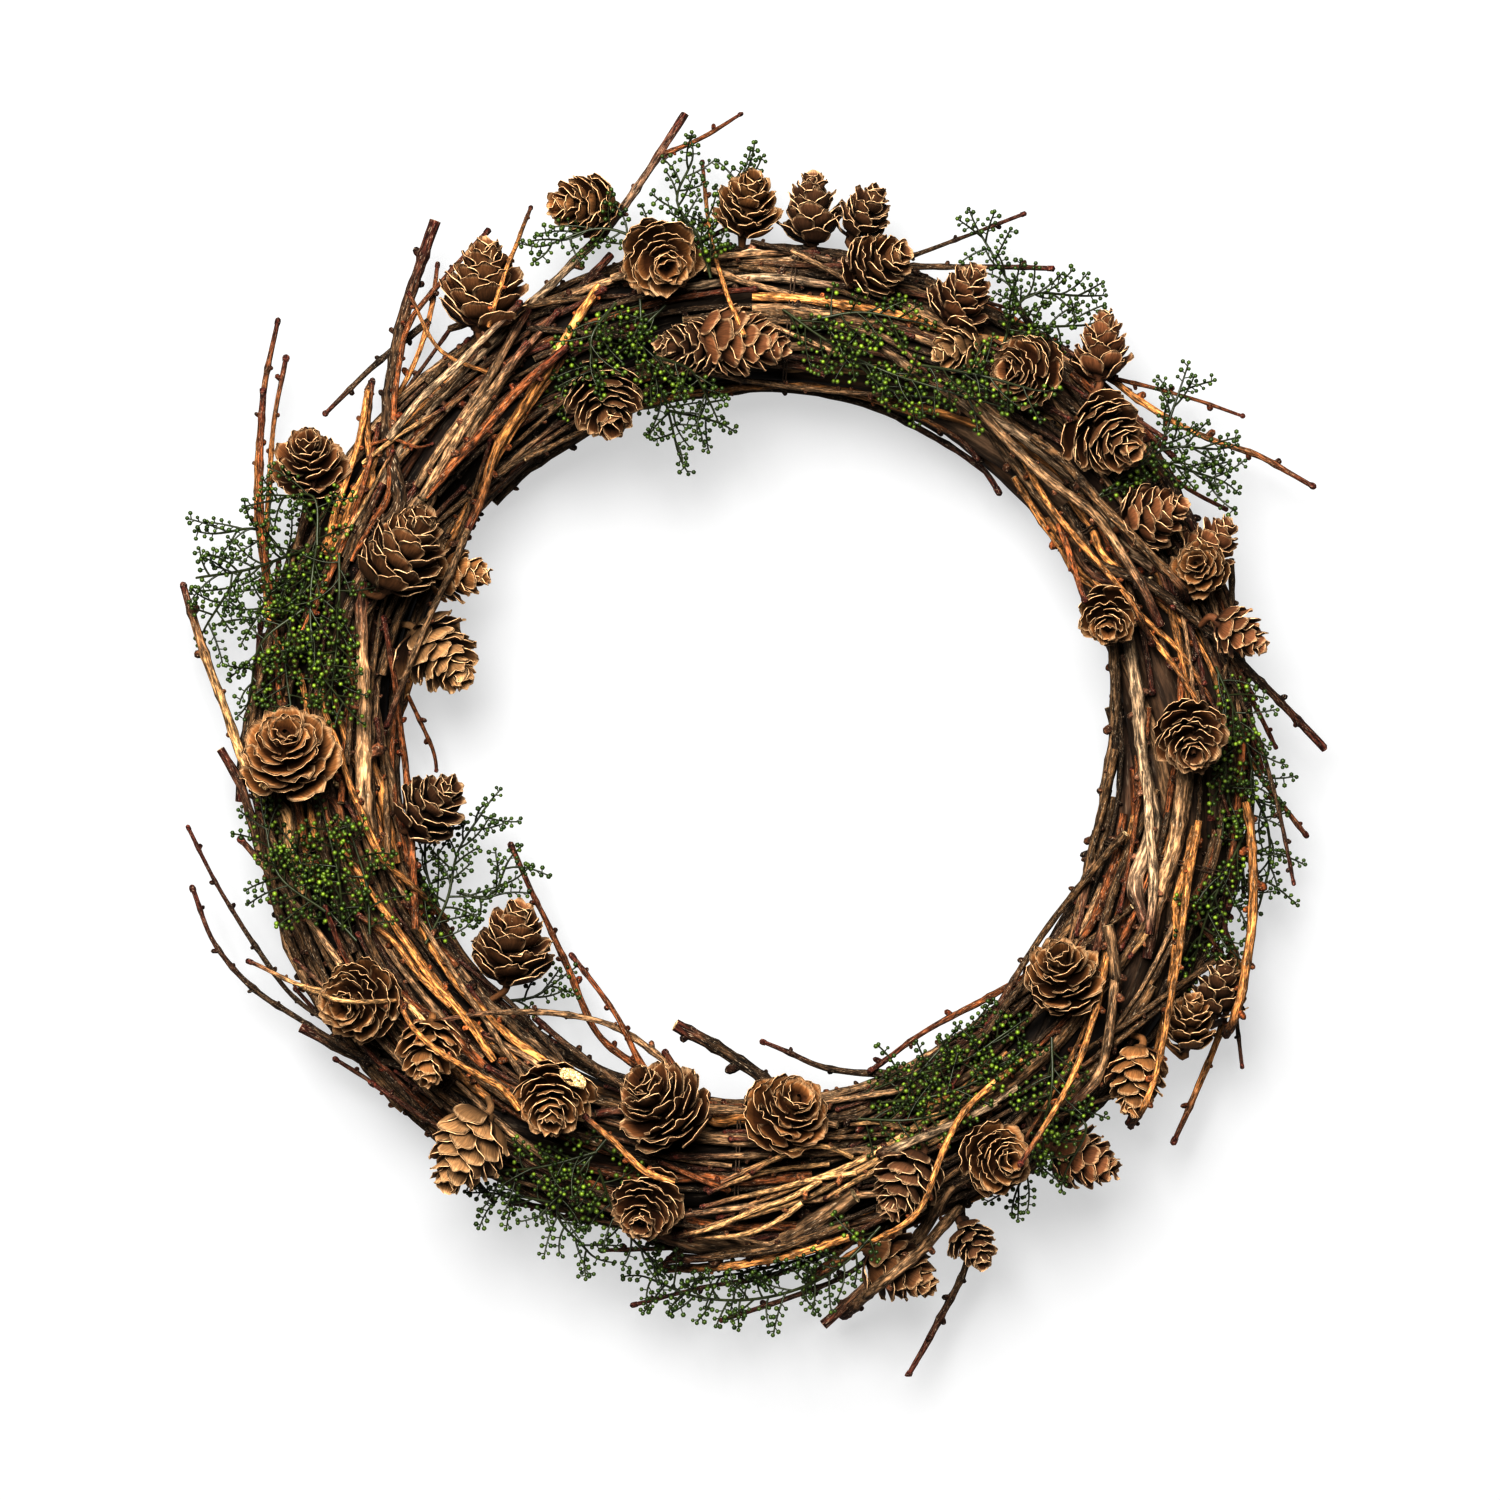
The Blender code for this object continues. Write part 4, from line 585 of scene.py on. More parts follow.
def hoop_radius_at(turn, side):
    """How thick the twisted stems are at an angle round the hoop and one round its section, in radians."""
    phase = (side - STEM_TURNS * turn - math.pi / 2) * STEM_COUNT / (2 * math.pi)
    return HOOP_WIDEST - STEM_GROOVE * 2 * abs(phase - round(phase))


def smooth_through(points, spacing):
    """Points at an even spacing on a Catmull-Rom curve through the given ones."""
    points = np.asarray(points, float)
    ends = np.vstack((2 * points[0] - points[1], points, 2 * points[-1] - points[-2]))
    run = []
    for before, start, end, after in zip(ends, ends[1:], ends[2:], ends[3:]):
        steps = max(2, int(np.linalg.norm(end - start) / spacing))
        for t in np.arange(steps) / steps:
            run.append(0.5 * (2 * start + (end - before) * t
                              + (2 * before - 5 * start + 4 * end - after) * t**2
                              + (3 * start - before - 3 * end + after) * t**3))
    run.append(points[-1])
    return np.array(run)


def along(points):
    """How far each point lies along the line through them."""
    return np.concatenate(([0.0], np.cumsum(np.linalg.norm(np.diff(points, axis=0), axis=1))))


class Laid:
    """What is already laid, as a list of tapered round rods, each from one point to another."""

    def __init__(self):
        self.start = np.zeros((0, 3))
        self.end = np.zeros((0, 3))
        self.start_radius = np.zeros(0)
        self.end_radius = np.zeros(0)
        self.owner = []

    def add(self, points, radii, owner):
        self.start = np.vstack((self.start, points[:-1]))
        self.end = np.vstack((self.end, points[1:]))
        self.start_radius = np.append(self.start_radius, radii[:-1])
        self.end_radius = np.append(self.end_radius, radii[1:])
        self.owner += [owner] * (len(points) - 1)

    def drop(self, owner):
        keep = np.array([other != owner for other in self.owner], bool)
        self.start, self.end = self.start[keep], self.end[keep]
        self.start_radius, self.end_radius = self.start_radius[keep], self.end_radius[keep]
        self.owner = [other for other in self.owner if other != owner]

    def room(self, points, radii, ignore=()):
        """The room of each ball of the given points and radii to the nearest rod, less than 0 inside it."""
        keep = np.array([owner not in ignore for owner in self.owner], bool)
        low = points.min(axis=0) - NEARBY
        high = points.max(axis=0) + NEARBY
        if len(keep):
            keep &= (np.minimum(self.start, self.end) < high).all(axis=1)
            keep &= (np.maximum(self.start, self.end) > low).all(axis=1)
        if not keep.any():
            return np.full(len(points), 1.0)
        start, way = self.start[keep], (self.end - self.start)[keep]
        from_start = points[:, None] - start[None]
        share = (from_start * way).sum(axis=2) / np.maximum((way**2).sum(axis=1), 1e-12)
        share = np.clip(share, 0, 1)
        reach = np.linalg.norm(from_start - share[..., None] * way, axis=2)
        thick = self.start_radius[keep] * (1 - share) + self.end_radius[keep] * share
        return (reach - thick).min(axis=1) - radii


def hoop_room(points, radii):
    """The room of each ball to the widest the hoop gets."""
    out = np.hypot(np.hypot(points[:, 0], points[:, 1]) - HOOP_RADIUS, points[:, 2] - HOOP_HEIGHT)
    return out - HOOP_WIDEST - radii


def draped(points, radii):
    """The height at which a rod of each radius lies on the hoop, and the hoop's own height beside it."""
    off = np.hypot(points[:, 0], points[:, 1]) - HOOP_RADIUS
    reach = HOOP_WIDEST + GAP + radii
    return HOOP_HEIGHT + np.sqrt(np.maximum(reach**2 - off**2, 0))


def ease_slopes(route, held):
    """Lifts the free bends so that the route comes down no faster than the steepest slope."""
    lengths = np.linalg.norm(np.diff(route[:, :2], axis=0), axis=1)
    for order in (range(1, len(route)), range(len(route) - 2, -1, -1)):
        for i in order:
            j = i - 1 if order.step > 0 else i + 1
            least = route[j, 2] - STEEPEST * lengths[min(i, j)]
            if not held[i]:
                route[i, 2] = max(route[i, 2], least)


def sampled(route, radii):
    """Balls at an even spacing along a route, with the number of the bend before each."""
    places = along(route)
    at = np.append(np.arange(0, places[-1], SAMPLE_SPACING), places[-1])
    before = np.clip(np.searchsorted(places, at, side="right") - 1, 0, len(route) - 2)
    points = np.column_stack([np.interp(at, places, route[:, k]) for k in range(3)])
    return points, np.interp(at, places, radii), before


def settle(route, radii, held, laid, ignore=(), ignore_near=(), near=None):
    """Lifts the free bends of a route until it clears what is laid.

    Rods of the owners in ignore_near are let through up to BIND_FREE from the point near, where the twigs of
    one bundle are pressed together. Returns which samples are still too close, and the bend before each.
    """
    ease_slopes(route, held)
    for _ in range(SETTLE_ROUNDS):
        points, thick, before = sampled(route, radii)
        room = np.minimum(laid.room(points, thick, ignore), hoop_room(points, thick))
        if near is not None:
            close = np.linalg.norm(points[:, :2] - near[:2], axis=1) < BIND_FREE
            apart = np.minimum(laid.room(points, thick, ignore_near), hoop_room(points, thick))
            room = np.where(close, apart, room)
        short = room < GAP
        wrong = short | (points[:, 2] - thick < LOWEST)
        if not wrong.any():
            break
        need = np.clip(GAP - room + SPARE_LIFT, LEAST_LIFT, MOST_LIFT)
        lift = np.zeros(len(route))
        np.maximum.at(lift, before[wrong], need[wrong])
        np.maximum.at(lift, before[wrong] + 1, need[wrong])
        route[:, 2] += np.where(held, 0, lift)
        ease_slopes(route, held)
    climb = abs(np.diff(route[:, 2])) / np.linalg.norm(np.diff(route[:, :2], axis=0), axis=1)
    return short | (climb[before] > STEEPEST_CLIMB) | (points[:, 2] > HIGHEST), before


def longest_clear(short, before, bends, keep):
    """The first and last bend of the clear stretch that holds the bend to keep."""
    bad = sorted(set(before[short]))
    first = max([b + 1 for b in bad if b < keep], default=0)
    last = min([b for b in bad if b >= keep], default=bends - 1)
    return first, last


def twig_plan(bends, wire_angle):
    """A twig's route in the plane, led back to its wire where it starts short of it."""
    angles = np.array([b[0] for b in bends], float)
    radii = np.array([b[1] * MM for b in bends])
    angles += 360 * round((wire_angle - angles[0]) / 360)
    back = wire_angle + BIND_SPAN + LEAD_IN
    if angles[0] < back:
        inward = np.clip(radii[0], HOOP_RADIUS - WIRE_RHO, HOOP_RADIUS + WIRE_RHO)
        if angles[0] > wire_angle - LATE_START:
            angles[0] = back
        else:
            angles = np.insert(angles, 0, back)
            radii = np.insert(radii, 0, inward)
    return smooth_through([spot(a, r) for a, r in zip(angles, radii)], SAMPLE_SPACING)


def unwound(plane, near):
    """The angle in degrees and distance of each point. The angles run on from one point to the next."""
    turns = np.degrees(np.unwrap(np.arctan2(plane[:, 1], plane[:, 0])))
    turns += 360 * round((near - turns[0]) / 360)
    return turns, np.hypot(plane[:, 0], plane[:, 1])


def lane_rho(butt):
    """How far a tied twig's middle lies from the middle of the hoop's section."""
    return HOOP_WIDEST + GAP + LANE_SLACK + butt


def lane_step(one, other):
    """The angle in degrees round the hoop's section that keeps two tied twigs clear of each other."""
    a, b = lane_rho(one), lane_rho(other)
    apart = one + other + GAP + LANE_SLACK
    return math.degrees(math.acos((a * a + b * b - apart * apart) / (2 * a * b)))


def spread(sides, thick):
    """Moves neighbours apart round the hoop's section until each has room for its own thickness."""
    order = np.argsort(sides)
    step = [lane_step(thick[a], thick[b]) for a, b in zip(order, order[1:])]
    placed = [max(LANE_FROM, sides[order[0]])]
    for k, gap in zip(order[1:], step):
        placed.append(max(sides[k], placed[-1] + gap))
    limit = LANE_TO
    for i in range(len(placed) - 1, -1, -1):
        placed[i] = min(placed[i], limit)
        if i:
            limit = placed[i] - step[i - 1]
    result = np.empty(len(sides))
    result[order] = placed
    return result


class Twig:
    """One twig: its bends as points, its radius at each, and which bends its wire holds."""

    def __init__(self, wire_angle, thickness, bends):
        self.butt = thickness * MM / 2
        self.wire_angle = wire_angle
        self.plane = twig_plan(bends, wire_angle)
        self.turns, self.radii = unwound(self.plane, wire_angle)
        at = int(np.argmin(abs(self.turns - wire_angle)))
        self.natural = self.radii[at]
        lane = lane_rho(self.butt)
        self.side = math.degrees(math.acos(np.clip((self.natural - HOOP_RADIUS) / lane, -1, 1)))

    def bind(self, side):
        """Leads the route through its place under the wire and sets out its bends."""
        lane = lane_rho(self.butt)
        held_radius = HOOP_RADIUS + lane * math.cos(math.radians(side))
        held_height = HOOP_HEIGHT + lane * math.sin(math.radians(side))
        reach = abs(self.turns - self.wire_angle)
        shift = np.where(reach < BIND_SPAN, 1, np.exp(-(((reach - BIND_SPAN) / BIND_EASE) ** 2)))
        near = reach < BIND_SPAN + KEPT_STRAIGHT
        eased = self.radii + (held_radius - self.natural) * shift
        eased[near] = held_radius
        plane = np.array([spot(a, r) for a, r in zip(self.turns, eased)])
        places = along(plane)
        order = np.argsort(-self.turns)
        stops = [np.interp(-(self.wire_angle + d), -self.turns[order], places[order])
                 for d in (BIND_SPAN, 0, -BIND_SPAN)]
        back = max(0, round(stops[0] / BEND_SPACING))
        ahead = max(1, round((places[-1] - stops[2]) / BEND_SPACING))
        rest = list(np.linspace(stops[2], places[-1], ahead + 1)[1:])
        lead = list(np.linspace(0, stops[0], back + 1)[:-1]) if back else []
        at = np.array(lead + stops + rest)
        self.route = np.column_stack([np.interp(at, places, plane[:, k]) for k in range(2)] + [at * 0])
        share = at / places[-1]
        knots = np.where(np.arange(len(at)) % 2, 1 + KNOT, 1 - KNOT)
        self.thick = np.maximum(self.butt * (1 - (1 - TIP_TAPER) * share) * knots, THINNEST)
        self.hold_at = len(lead) + 1
        self.held = np.arange(len(at)) == self.hold_at
        self.bound = slice(self.hold_at - 1, self.hold_at + 2)
        self.thick[self.bound] = self.butt
        self.route[:, 2] = draped(self.route, self.thick)
        self.route[self.bound, 2] = held_height

    def bound_part(self):
        return self.route[self.bound].copy(), self.thick[self.bound]


def lay_shoot(parent, thickness, bends, laid, key, parent_key):
    """A side shoot that starts inside its parent twig and lies clear of the rest."""
    plane = smooth_through([spot(a, r * MM) for a, r in bends], SAMPLE_SPACING)
    nearest = int(np.argmin(np.linalg.norm(sampled(parent.route, parent.thick)[0][:, :2] - plane[0], axis=1)))
    root = sampled(parent.route, parent.thick)[0][nearest]
    plane = plane - (plane[0] - root[:2]) * np.linspace(1, 0, len(plane))[:, None] ** 2
    places = along(plane)
    count = max(3, round(places[-1] / BEND_SPACING) + 1)
    at = np.linspace(0, places[-1], count)
    route = np.column_stack([np.interp(at, places, plane[:, k]) for k in range(2)] + [at * 0 + root[2]])
    thick = np.maximum(thickness * MM / 2 * np.linspace(1, TIP_TAPER, count), THINNEST)
    held = np.zeros(count, bool)
    held[0] = True
    bundle = tuple(owner for owner in set(laid.owner) if owner[0] == parent_key[0])
    short, before = settle(route, thick, held, laid, (parent_key,), bundle, root)
    if short.any():
        last = longest_clear(short, before, count, 0)[1]
        route, thick = route[:last + 1], thick[:last + 1]
    if len(route) > 1:
        laid.add(route, thick, key)
    return route, thick


def cone_profile(share):
    """How wide a cone is at a share of its length from the base, against its widest."""
    return float(np.interp(share, CONE_SHARES, CONE_WIDTHS))


def cone_axis(heading, lift):
    """The way a cone points, from its heading in the plane of the wreath and its lift out of it."""
    across = math.cos(math.radians(lift))
    return np.array((across * math.cos(math.radians(heading)), across * math.sin(math.radians(heading)),
                     math.sin(math.radians(lift))))


class Cone:
    """One cone by its middle, axis, widest radius and length, with the balls that stand for its bulk."""

    def __init__(self, node, row):
        angle, distance, heading, lift, radius, length = row
        self.node = node
        self.axis = cone_axis(heading, lift)
        self.radius = radius * MM
        self.length = length * MM
        self.middle = np.append(spot(angle, distance * MM), 0.0)
        base = self.middle - self.axis * self.length / 2
        off = np.hypot(base[0], base[1]) - HOOP_RADIUS
        rise = math.sqrt(max(CONE_SEAT**2 - off**2, LEAST_RISE**2))
        self.middle[2] = HOOP_HEIGHT + rise + self.axis[2] * self.length / 2
        self.bulk = self.radius * np.array([cone_profile(s) for s in BULK_SHARES])

    def balls(self):
        return self.middle + self.axis * self.length * (BULK_SHARES[:, None] - 0.5)

    def rims(self):
        """A closer account of the bulk: a ring of small balls for each of the shares, and their radii."""
        side = np.array(Vector(self.axis).orthogonal().normalized())
        up = np.cross(self.axis, side)
        turns = np.radians(np.arange(BULK_SIDES) * 360 / BULK_SIDES)
        ring = np.cos(turns)[:, None] * side + np.sin(turns)[:, None] * up
        points = self.balls()[:, None] + ring[None] * self.bulk[:, None, None] * BULK_OUT
        return points.reshape(-1, 3), np.repeat(self.bulk * BULK_BALL, BULK_SIDES)

    def base(self):
        return self.middle - self.axis * self.length / 2


def push_apart(cones):
    """Moves cones of different nodes sideways, a little each time, until their bulks no longer cross."""
    for _ in range(PUSH_ROUNDS):
        for i, one in enumerate(cones):
            for other in cones[i + 1:]:
                if one.node == other.node or np.linalg.norm(one.middle - other.middle) > PUSH_REACH:
                    continue
                way = one.balls()[:, None] - other.balls()[None]
                reach = np.linalg.norm(way, axis=2)
                deep = one.bulk[:, None] + other.bulk[None] + GAP - reach
                worst = np.unravel_index(np.argmax(deep), deep.shape)
                if deep[worst] > 0:
                    push = way[worst] / max(reach[worst], 1e-6) * deep[worst] * PUSH_SHARE
                    push[2] *= PUSH_UP
                    one.middle += push / 2
                    other.middle -= push / 2


def surface_of(objects):
    """A search tree of the faces of several objects."""
    points, faces = [], []
    for obj in objects:
        first = len(points)
        points += [obj.matrix_world @ v.co for v in obj.data.vertices]
        faces += [[first + i for i in p.vertices] for p in obj.data.polygons]
    return BVHTree.FromPolygons(points, faces)


def wire_route(wire_angle):
    """The binding wire runs over the hoop through its twigs, and its two ends go down to the hoop's sides."""
    points = []
    sides = np.radians(np.linspace(WIRE_FROM, WIRE_TO, WIRE_POINTS))
    turn = math.radians(wire_angle)
    for k, side in enumerate(sides):
        rho = WIRE_RHO
        if k in (0, WIRE_POINTS - 1):
            rho = hoop_radius_at(turn, side) + WIRE_RADIUS + GAP
        out = HOOP_RADIUS + rho * math.cos(side)
        points.append((out * math.cos(turn), out * math.sin(turn), HOOP_HEIGHT + rho * math.sin(side)))
    return np.array(points), np.full(WIRE_POINTS, WIRE_RADIUS)


def lay_all():
    """Finds where every twig, cone and shoot lies, in the order in which they are put on."""
    laid = Laid()
    twigs = {}
    for name, (wire_angle, rows) in BUNDLES.items():
        group = [Twig(wire_angle, *row) for row in rows]
        sides = spread(np.array([t.side for t in group]), np.array([t.butt for t in group]))
        for k, (twig, side) in enumerate(zip(group, sides)):
            twig.bind(side)
            laid.add(*twig.bound_part(), (name, k))
        laid.add(*wire_route(wire_angle), (name, "wire"))
        twigs[name] = group
    for name, group in twigs.items():
        for k, twig in enumerate(group):
            lay_bound(twig, laid, name, k)
    cones = [Cone(node, row) for node, rows in CONES.items() for row in rows]
    push_apart(cones)
    for cone in sorted(cones, key=lambda c: c.middle[2]):
        for _ in range(CONE_LIFTS):
            points, thick = cone.rims()
            room = np.minimum(laid.room(points, thick, (cone.node,)), hoop_room(points, thick))
            if (room > GAP).all():
                break
            cone.middle[2] += CONE_LIFT
        laid.add(*cone.rims(), cone.node)
    shoots = []
    for k, (name, parent, thickness, bends) in enumerate(SHOOTS):
        shoots.append((name, lay_shoot(twigs[name][parent], thickness, bends, laid, (name, "shoot", k),
                                       (name, parent))))
    return laid, twigs, cones, shoots


def lay_bound(twig, laid, name, k):
    """Lays one twig of a bundle over what is there, and shortens it where it can't be lifted clear."""
    bundle = tuple(owner for owner in set(laid.owner) if owner[0] == name)
    short, before = settle(twig.route, twig.thick, twig.held, laid, ((name, k), (name, "wire")), bundle,
                           twig.route[twig.hold_at])
    if short.any():
        first, last = longest_clear(short, before, len(twig.route), twig.hold_at)
        keep = slice(first, last + 1)
        twig.route, twig.thick, twig.held = twig.route[keep], twig.thick[keep], twig.held[keep]
    laid.drop((name, k))
    laid.add(twig.route, twig.thick, (name, k))


def lay_stem(route_bends, root, laid, node):
    """A stem of greenery, laid over what is there. Its first bend is held where it grows from another stem."""
    plane = smooth_through([spot(a, r * MM) for a, r in route_bends], SAMPLE_SPACING)
    places = along(plane)
    count = max(3, round(places[-1] / STEM_BEND) + 1)
    at = np.linspace(0, places[-1], count)
    route = np.column_stack([np.interp(at, places, plane[:, k]) for k in range(2)] + [at * 0])
    thick = np.full(count, STEM_RADIUS)
    route[:, 2] = draped(route, thick)
    held = np.zeros(count, bool)
    if root is not None:
        route[0] = root
        held[0] = True
    short, before = settle(route, thick, held, laid, ignore=(node,))
    if short.any():
        last = longest_clear(short, before, count, 0)[1]
        route, thick = route[:last + 1], thick[:last + 1]
    return route, thick


def noise_along(count, step, draws):
    """A smooth random line of values from about -1 to 1, with a new value at every step."""
    knots = draws.normal(0, 0.5, max(3, int(count / step) + 3))
    at = np.arange(count) / step
    low = at.astype(int)
    share = at - low
    share = share * share * (3 - 2 * share)
    return knots[low] * (1 - share) + knots[low + 1] * share


class Shape:
    """A mesh of many parts. Each point has a tint, a place in the grain, and a share out to an edge."""

    def __init__(self):
        self.points, self.quads, self.tris = [], [], []
        self.tints, self.grains, self.edges = [], [], []
        self.count = 0

    def add(self, points, quads, tris, tint, grain, edge):
        total = len(points)
        self.points.append(points)
        self.quads.append(np.asarray(quads, int).reshape(-1, 4) + self.count)
        self.tris.append(np.asarray(tris, int).reshape(-1, 3) + self.count)
        self.tints.append(np.broadcast_to(tint, (total, 3)))
        self.grains.append(np.broadcast_to(grain, (total, 3)))
        self.edges.append(np.broadcast_to(edge, (total,)))
        self.count += total

    def paint_deep_shade(self, from_bare):
        """Paints shade on what lies deep between the twigs. The bare part of the hoop is spared if from_bare is
        False.
        """
        for k, points in enumerate(self.points):
            out = np.hypot(points[:, 0], points[:, 1]) - HOOP_RADIUS
            rho = np.hypot(out, points[:, 2] - HOOP_HEIGHT)
            share = np.clip((rho - DEEP_FROM) / DEEP_OVER, 0, 1)
            if not from_bare:
                bare = bare_share(np.degrees(np.arctan2(points[:, 1], points[:, 0])))
                share = np.maximum(share, bare)
            self.tints[k] = self.tints[k] * (DEEP_PAINTED_SHADE + (1 - DEEP_PAINTED_SHADE) * share)[:, None]

    def finish(self, name, finish, slot, nodes):
        """Makes the piece, which rides on the frame and stands for the given nodes."""
        points = np.vstack(self.points) + ORIGIN
        points = np.clip(points, BOX_LOW + BOX_MARGIN, BOX_HIGH - BOX_MARGIN)
        quads, tris = np.vstack(self.quads), np.vstack(self.tris)
        mesh = bpy.data.meshes.new(name)
        mesh.vertices.add(len(points))
        mesh.vertices.foreach_set("co", points.ravel())
        mesh.loops.add(quads.size + tris.size)
        mesh.loops.foreach_set("vertex_index", np.concatenate((quads.ravel(), tris.ravel())))
        mesh.polygons.add(len(quads) + len(tris))
        starts = np.concatenate((np.arange(len(quads)) * 4, quads.size + np.arange(len(tris)) * 3))
        mesh.polygons.foreach_set("loop_start", starts)
        mesh.polygons.foreach_set("use_smooth", np.ones(len(starts), bool))
        mesh.update(calc_edges=True)
        for label, kind, values in (("tint", "FLOAT_COLOR", np.vstack(self.tints)),
                                    ("grain", "FLOAT_VECTOR", np.vstack(self.grains)),
                                    ("edge", "FLOAT", np.concatenate(self.edges))):
            layer = mesh.attributes.new(label, kind, "POINT")
            if kind == "FLOAT_COLOR":
                values = np.column_stack((values, np.ones(len(values))))
                layer.data.foreach_set("color", values.ravel())
            elif kind == "FLOAT_VECTOR":
                layer.data.foreach_set("vector", values.ravel())
            else:
                layer.data.foreach_set("value", values)
        mesh.validate()
        mesh.materials.append(finish)
        piece = bpy.data.objects.new(name, mesh)
        bpy.context.scene.collection.objects.link(piece)
        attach(piece, "root")
        if nodes:
            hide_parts(*nodes)
        return piece


def frames(points):
    """The way of a line at each point, and two directions across it that don't twist along it."""
    ways = np.gradient(points, axis=0)
    ways /= np.linalg.norm(ways, axis=1)[:, None]
    side = np.cross(ways[0], (0.0, 0.0, 1.0))
    if np.linalg.norm(side) < 0.2:
        side = np.cross(ways[0], (1.0, 0.0, 0.0))
    sides = [side / np.linalg.norm(side)]
    for way in ways[1:]:
        side = sides[-1] - way * (sides[-1] @ way)
        sides.append(side / np.linalg.norm(side))
    sides = np.array(sides)
    return ways, sides, np.cross(ways, sides)


def ring_faces(rings, sides, closed=False):
    """The quads of a tube of rings, each with the same number of points."""
    step = np.arange(rings if closed else rings - 1)[:, None]
    a, b = np.arange(sides)[None], (np.arange(sides)[None] + 1) % sides
    after = (step + 1) % rings
    quads = (step * sides + a, step * sides + b, after * sides + b, after * sides + a)
    return np.stack(quads, axis=2).reshape(-1, 4)


def fan(sides, first, tip, under=False):
    """The triangles between a ring of points and a point at its middle, which face down if under."""
    ring = [(first + k, first + (k + 1) % sides) for k in range(sides)]
    return [(b, a, tip) if under else (a, b, tip) for a, b in ring]


def circle(count, one, other):
    """Points round a circle, from two directions across each other."""
    turns = 2 * np.pi * np.arange(count) / count
    return np.cos(turns)[:, None] * one + np.sin(turns)[:, None] * other


def tube(shape, points, radii, sides, tints, draws, relief=0.05, closed=False):
    """A round rod along a line, with fine ridges along it and painted shade on its underside. Its ends are left
    open.
    """
    count = len(points)
    if closed:
        ways = np.roll(points, -1, axis=0) - np.roll(points, 1, axis=0)
        ways /= np.linalg.norm(ways, axis=1)[:, None]
        across = np.cross(ways, (0.0, 0.0, 1.0))
        across /= np.linalg.norm(across, axis=1)[:, None]
        up = np.cross(ways, across)
    else:
        ways, across, up = frames(points)
    turns = 2 * np.pi * np.arange(sides) / sides
    cos, sin = np.cos(turns)[None, :, None], np.sin(turns)[None, :, None]
    ridges = 1 + relief * draws.normal(size=(1, sides)) + 0.6 * relief * draws.normal(size=(count, sides))
    thick = np.asarray(radii)[:, None] * ridges
    out = across[:, None] * cos + up[:, None] * sin
    skin = points[:, None] + out * thick[..., None]
    places = along(points) / np.mean(radii)
    grain = np.empty((count, sides, 3))
    offset = draws.uniform(0, 50, 3)
    grain[..., 0] = np.cos(turns) + offset[0]
    grain[..., 1] = np.sin(turns) + offset[1]
    grain[..., 2] = places[:, None] * GRAIN_STRETCH + offset[2]
    tint = np.repeat(np.broadcast_to(tints, (count, 3)), sides, axis=0)
    # Painted shade: points that face down are darkened
    shade = 1 - UNDERSIDE_PAINTED_SHADE * np.clip(UNDER_FROM - out[..., 2], 0, 1)
    tint = tint * shade.reshape(-1, 1)
    shape.add(skin.reshape(-1, 3), ring_faces(count, sides, closed), [], tint, grain.reshape(-1, 3), 0.0)
    return ways, across, up


def cap(shape, centre, way, across, up, radius, sides, tint, bulge):
    """Closes the end of a rod: a flat cut for a bulge of 0, or else a blunt tip."""
    rim = centre + circle(sides, across, up) * radius
    points = np.vstack((rim, rim + (centre - rim) * 0.35 + way * bulge * 0.7, centre + way * bulge))
    edge = np.concatenate((np.ones(sides), np.full(sides, 0.6), [0.0]))
    faces = ring_faces(2, sides), fan(sides, sides, 2 * sides)
    shape.add(points, *faces, tint, points / radius * 0.5, edge)


def close_ends(shape, line, course, thick, sides, butt, tip, bulge):
    """Closes both ends of a rod, with a tint for each. The butt is cut flat."""
    ways, across, up = course
    cap(shape, line[0], -ways[0], across[0], -up[0], thick[0], sides, butt, 0.0)
    cap(shape, line[-1], ways[-1], across[-1], up[-1], thick[-1], sides, tip, bulge)


def bud(shape, root, way, length, radius, tint, draws):
    """A small knob or bud that stands out of a twig: six-sided, fullest below its blunt tip."""
    side = np.cross(way, (0.3, 0.2, 1.0))
    side /= np.linalg.norm(side)
    ring = circle(BUD_SIDES, side, np.cross(way, side))
    rings = [root + way * length * height + ring * radius * width * draws.uniform(0.85, 1.1)
             for height, width in zip(BUD_HEIGHTS, BUD_WIDTHS)]
    points = np.vstack(rings + [root + way * length * 1.08])
    last = (len(rings) - 1) * BUD_SIDES
    faces = ring_faces(len(rings), BUD_SIDES), fan(BUD_SIDES, last, last + BUD_SIDES)
    shape.add(points, *faces, tint, points / radius * 0.4, 0.0)


def twig_tints(kind, count, share, draws):
    """The colour at each point of a twig: its own bark, patchy, and darker and redder towards its tip."""
    base = np.array(BARKS[kind])
    patches = 1 + 0.35 * noise_along(count, 7, draws) + 0.12 * draws.normal(size=count)
    colour = base * np.clip(patches, 0.4, 1.7)[:, None] * draws.uniform(0.8, 1.25)
    dark = np.clip((share - TIP_DARK_FROM) / (1 - TIP_DARK_FROM), 0, 1)[:, None] ** 1.2
    return colour * (1 - dark) + np.array(TIP_BARK) * dark


def bell(places, place, reach):
    """How near each place on a line is to one of them, from 1 there down to 0."""
    return np.exp(-(((places - place) / reach) ** 2))


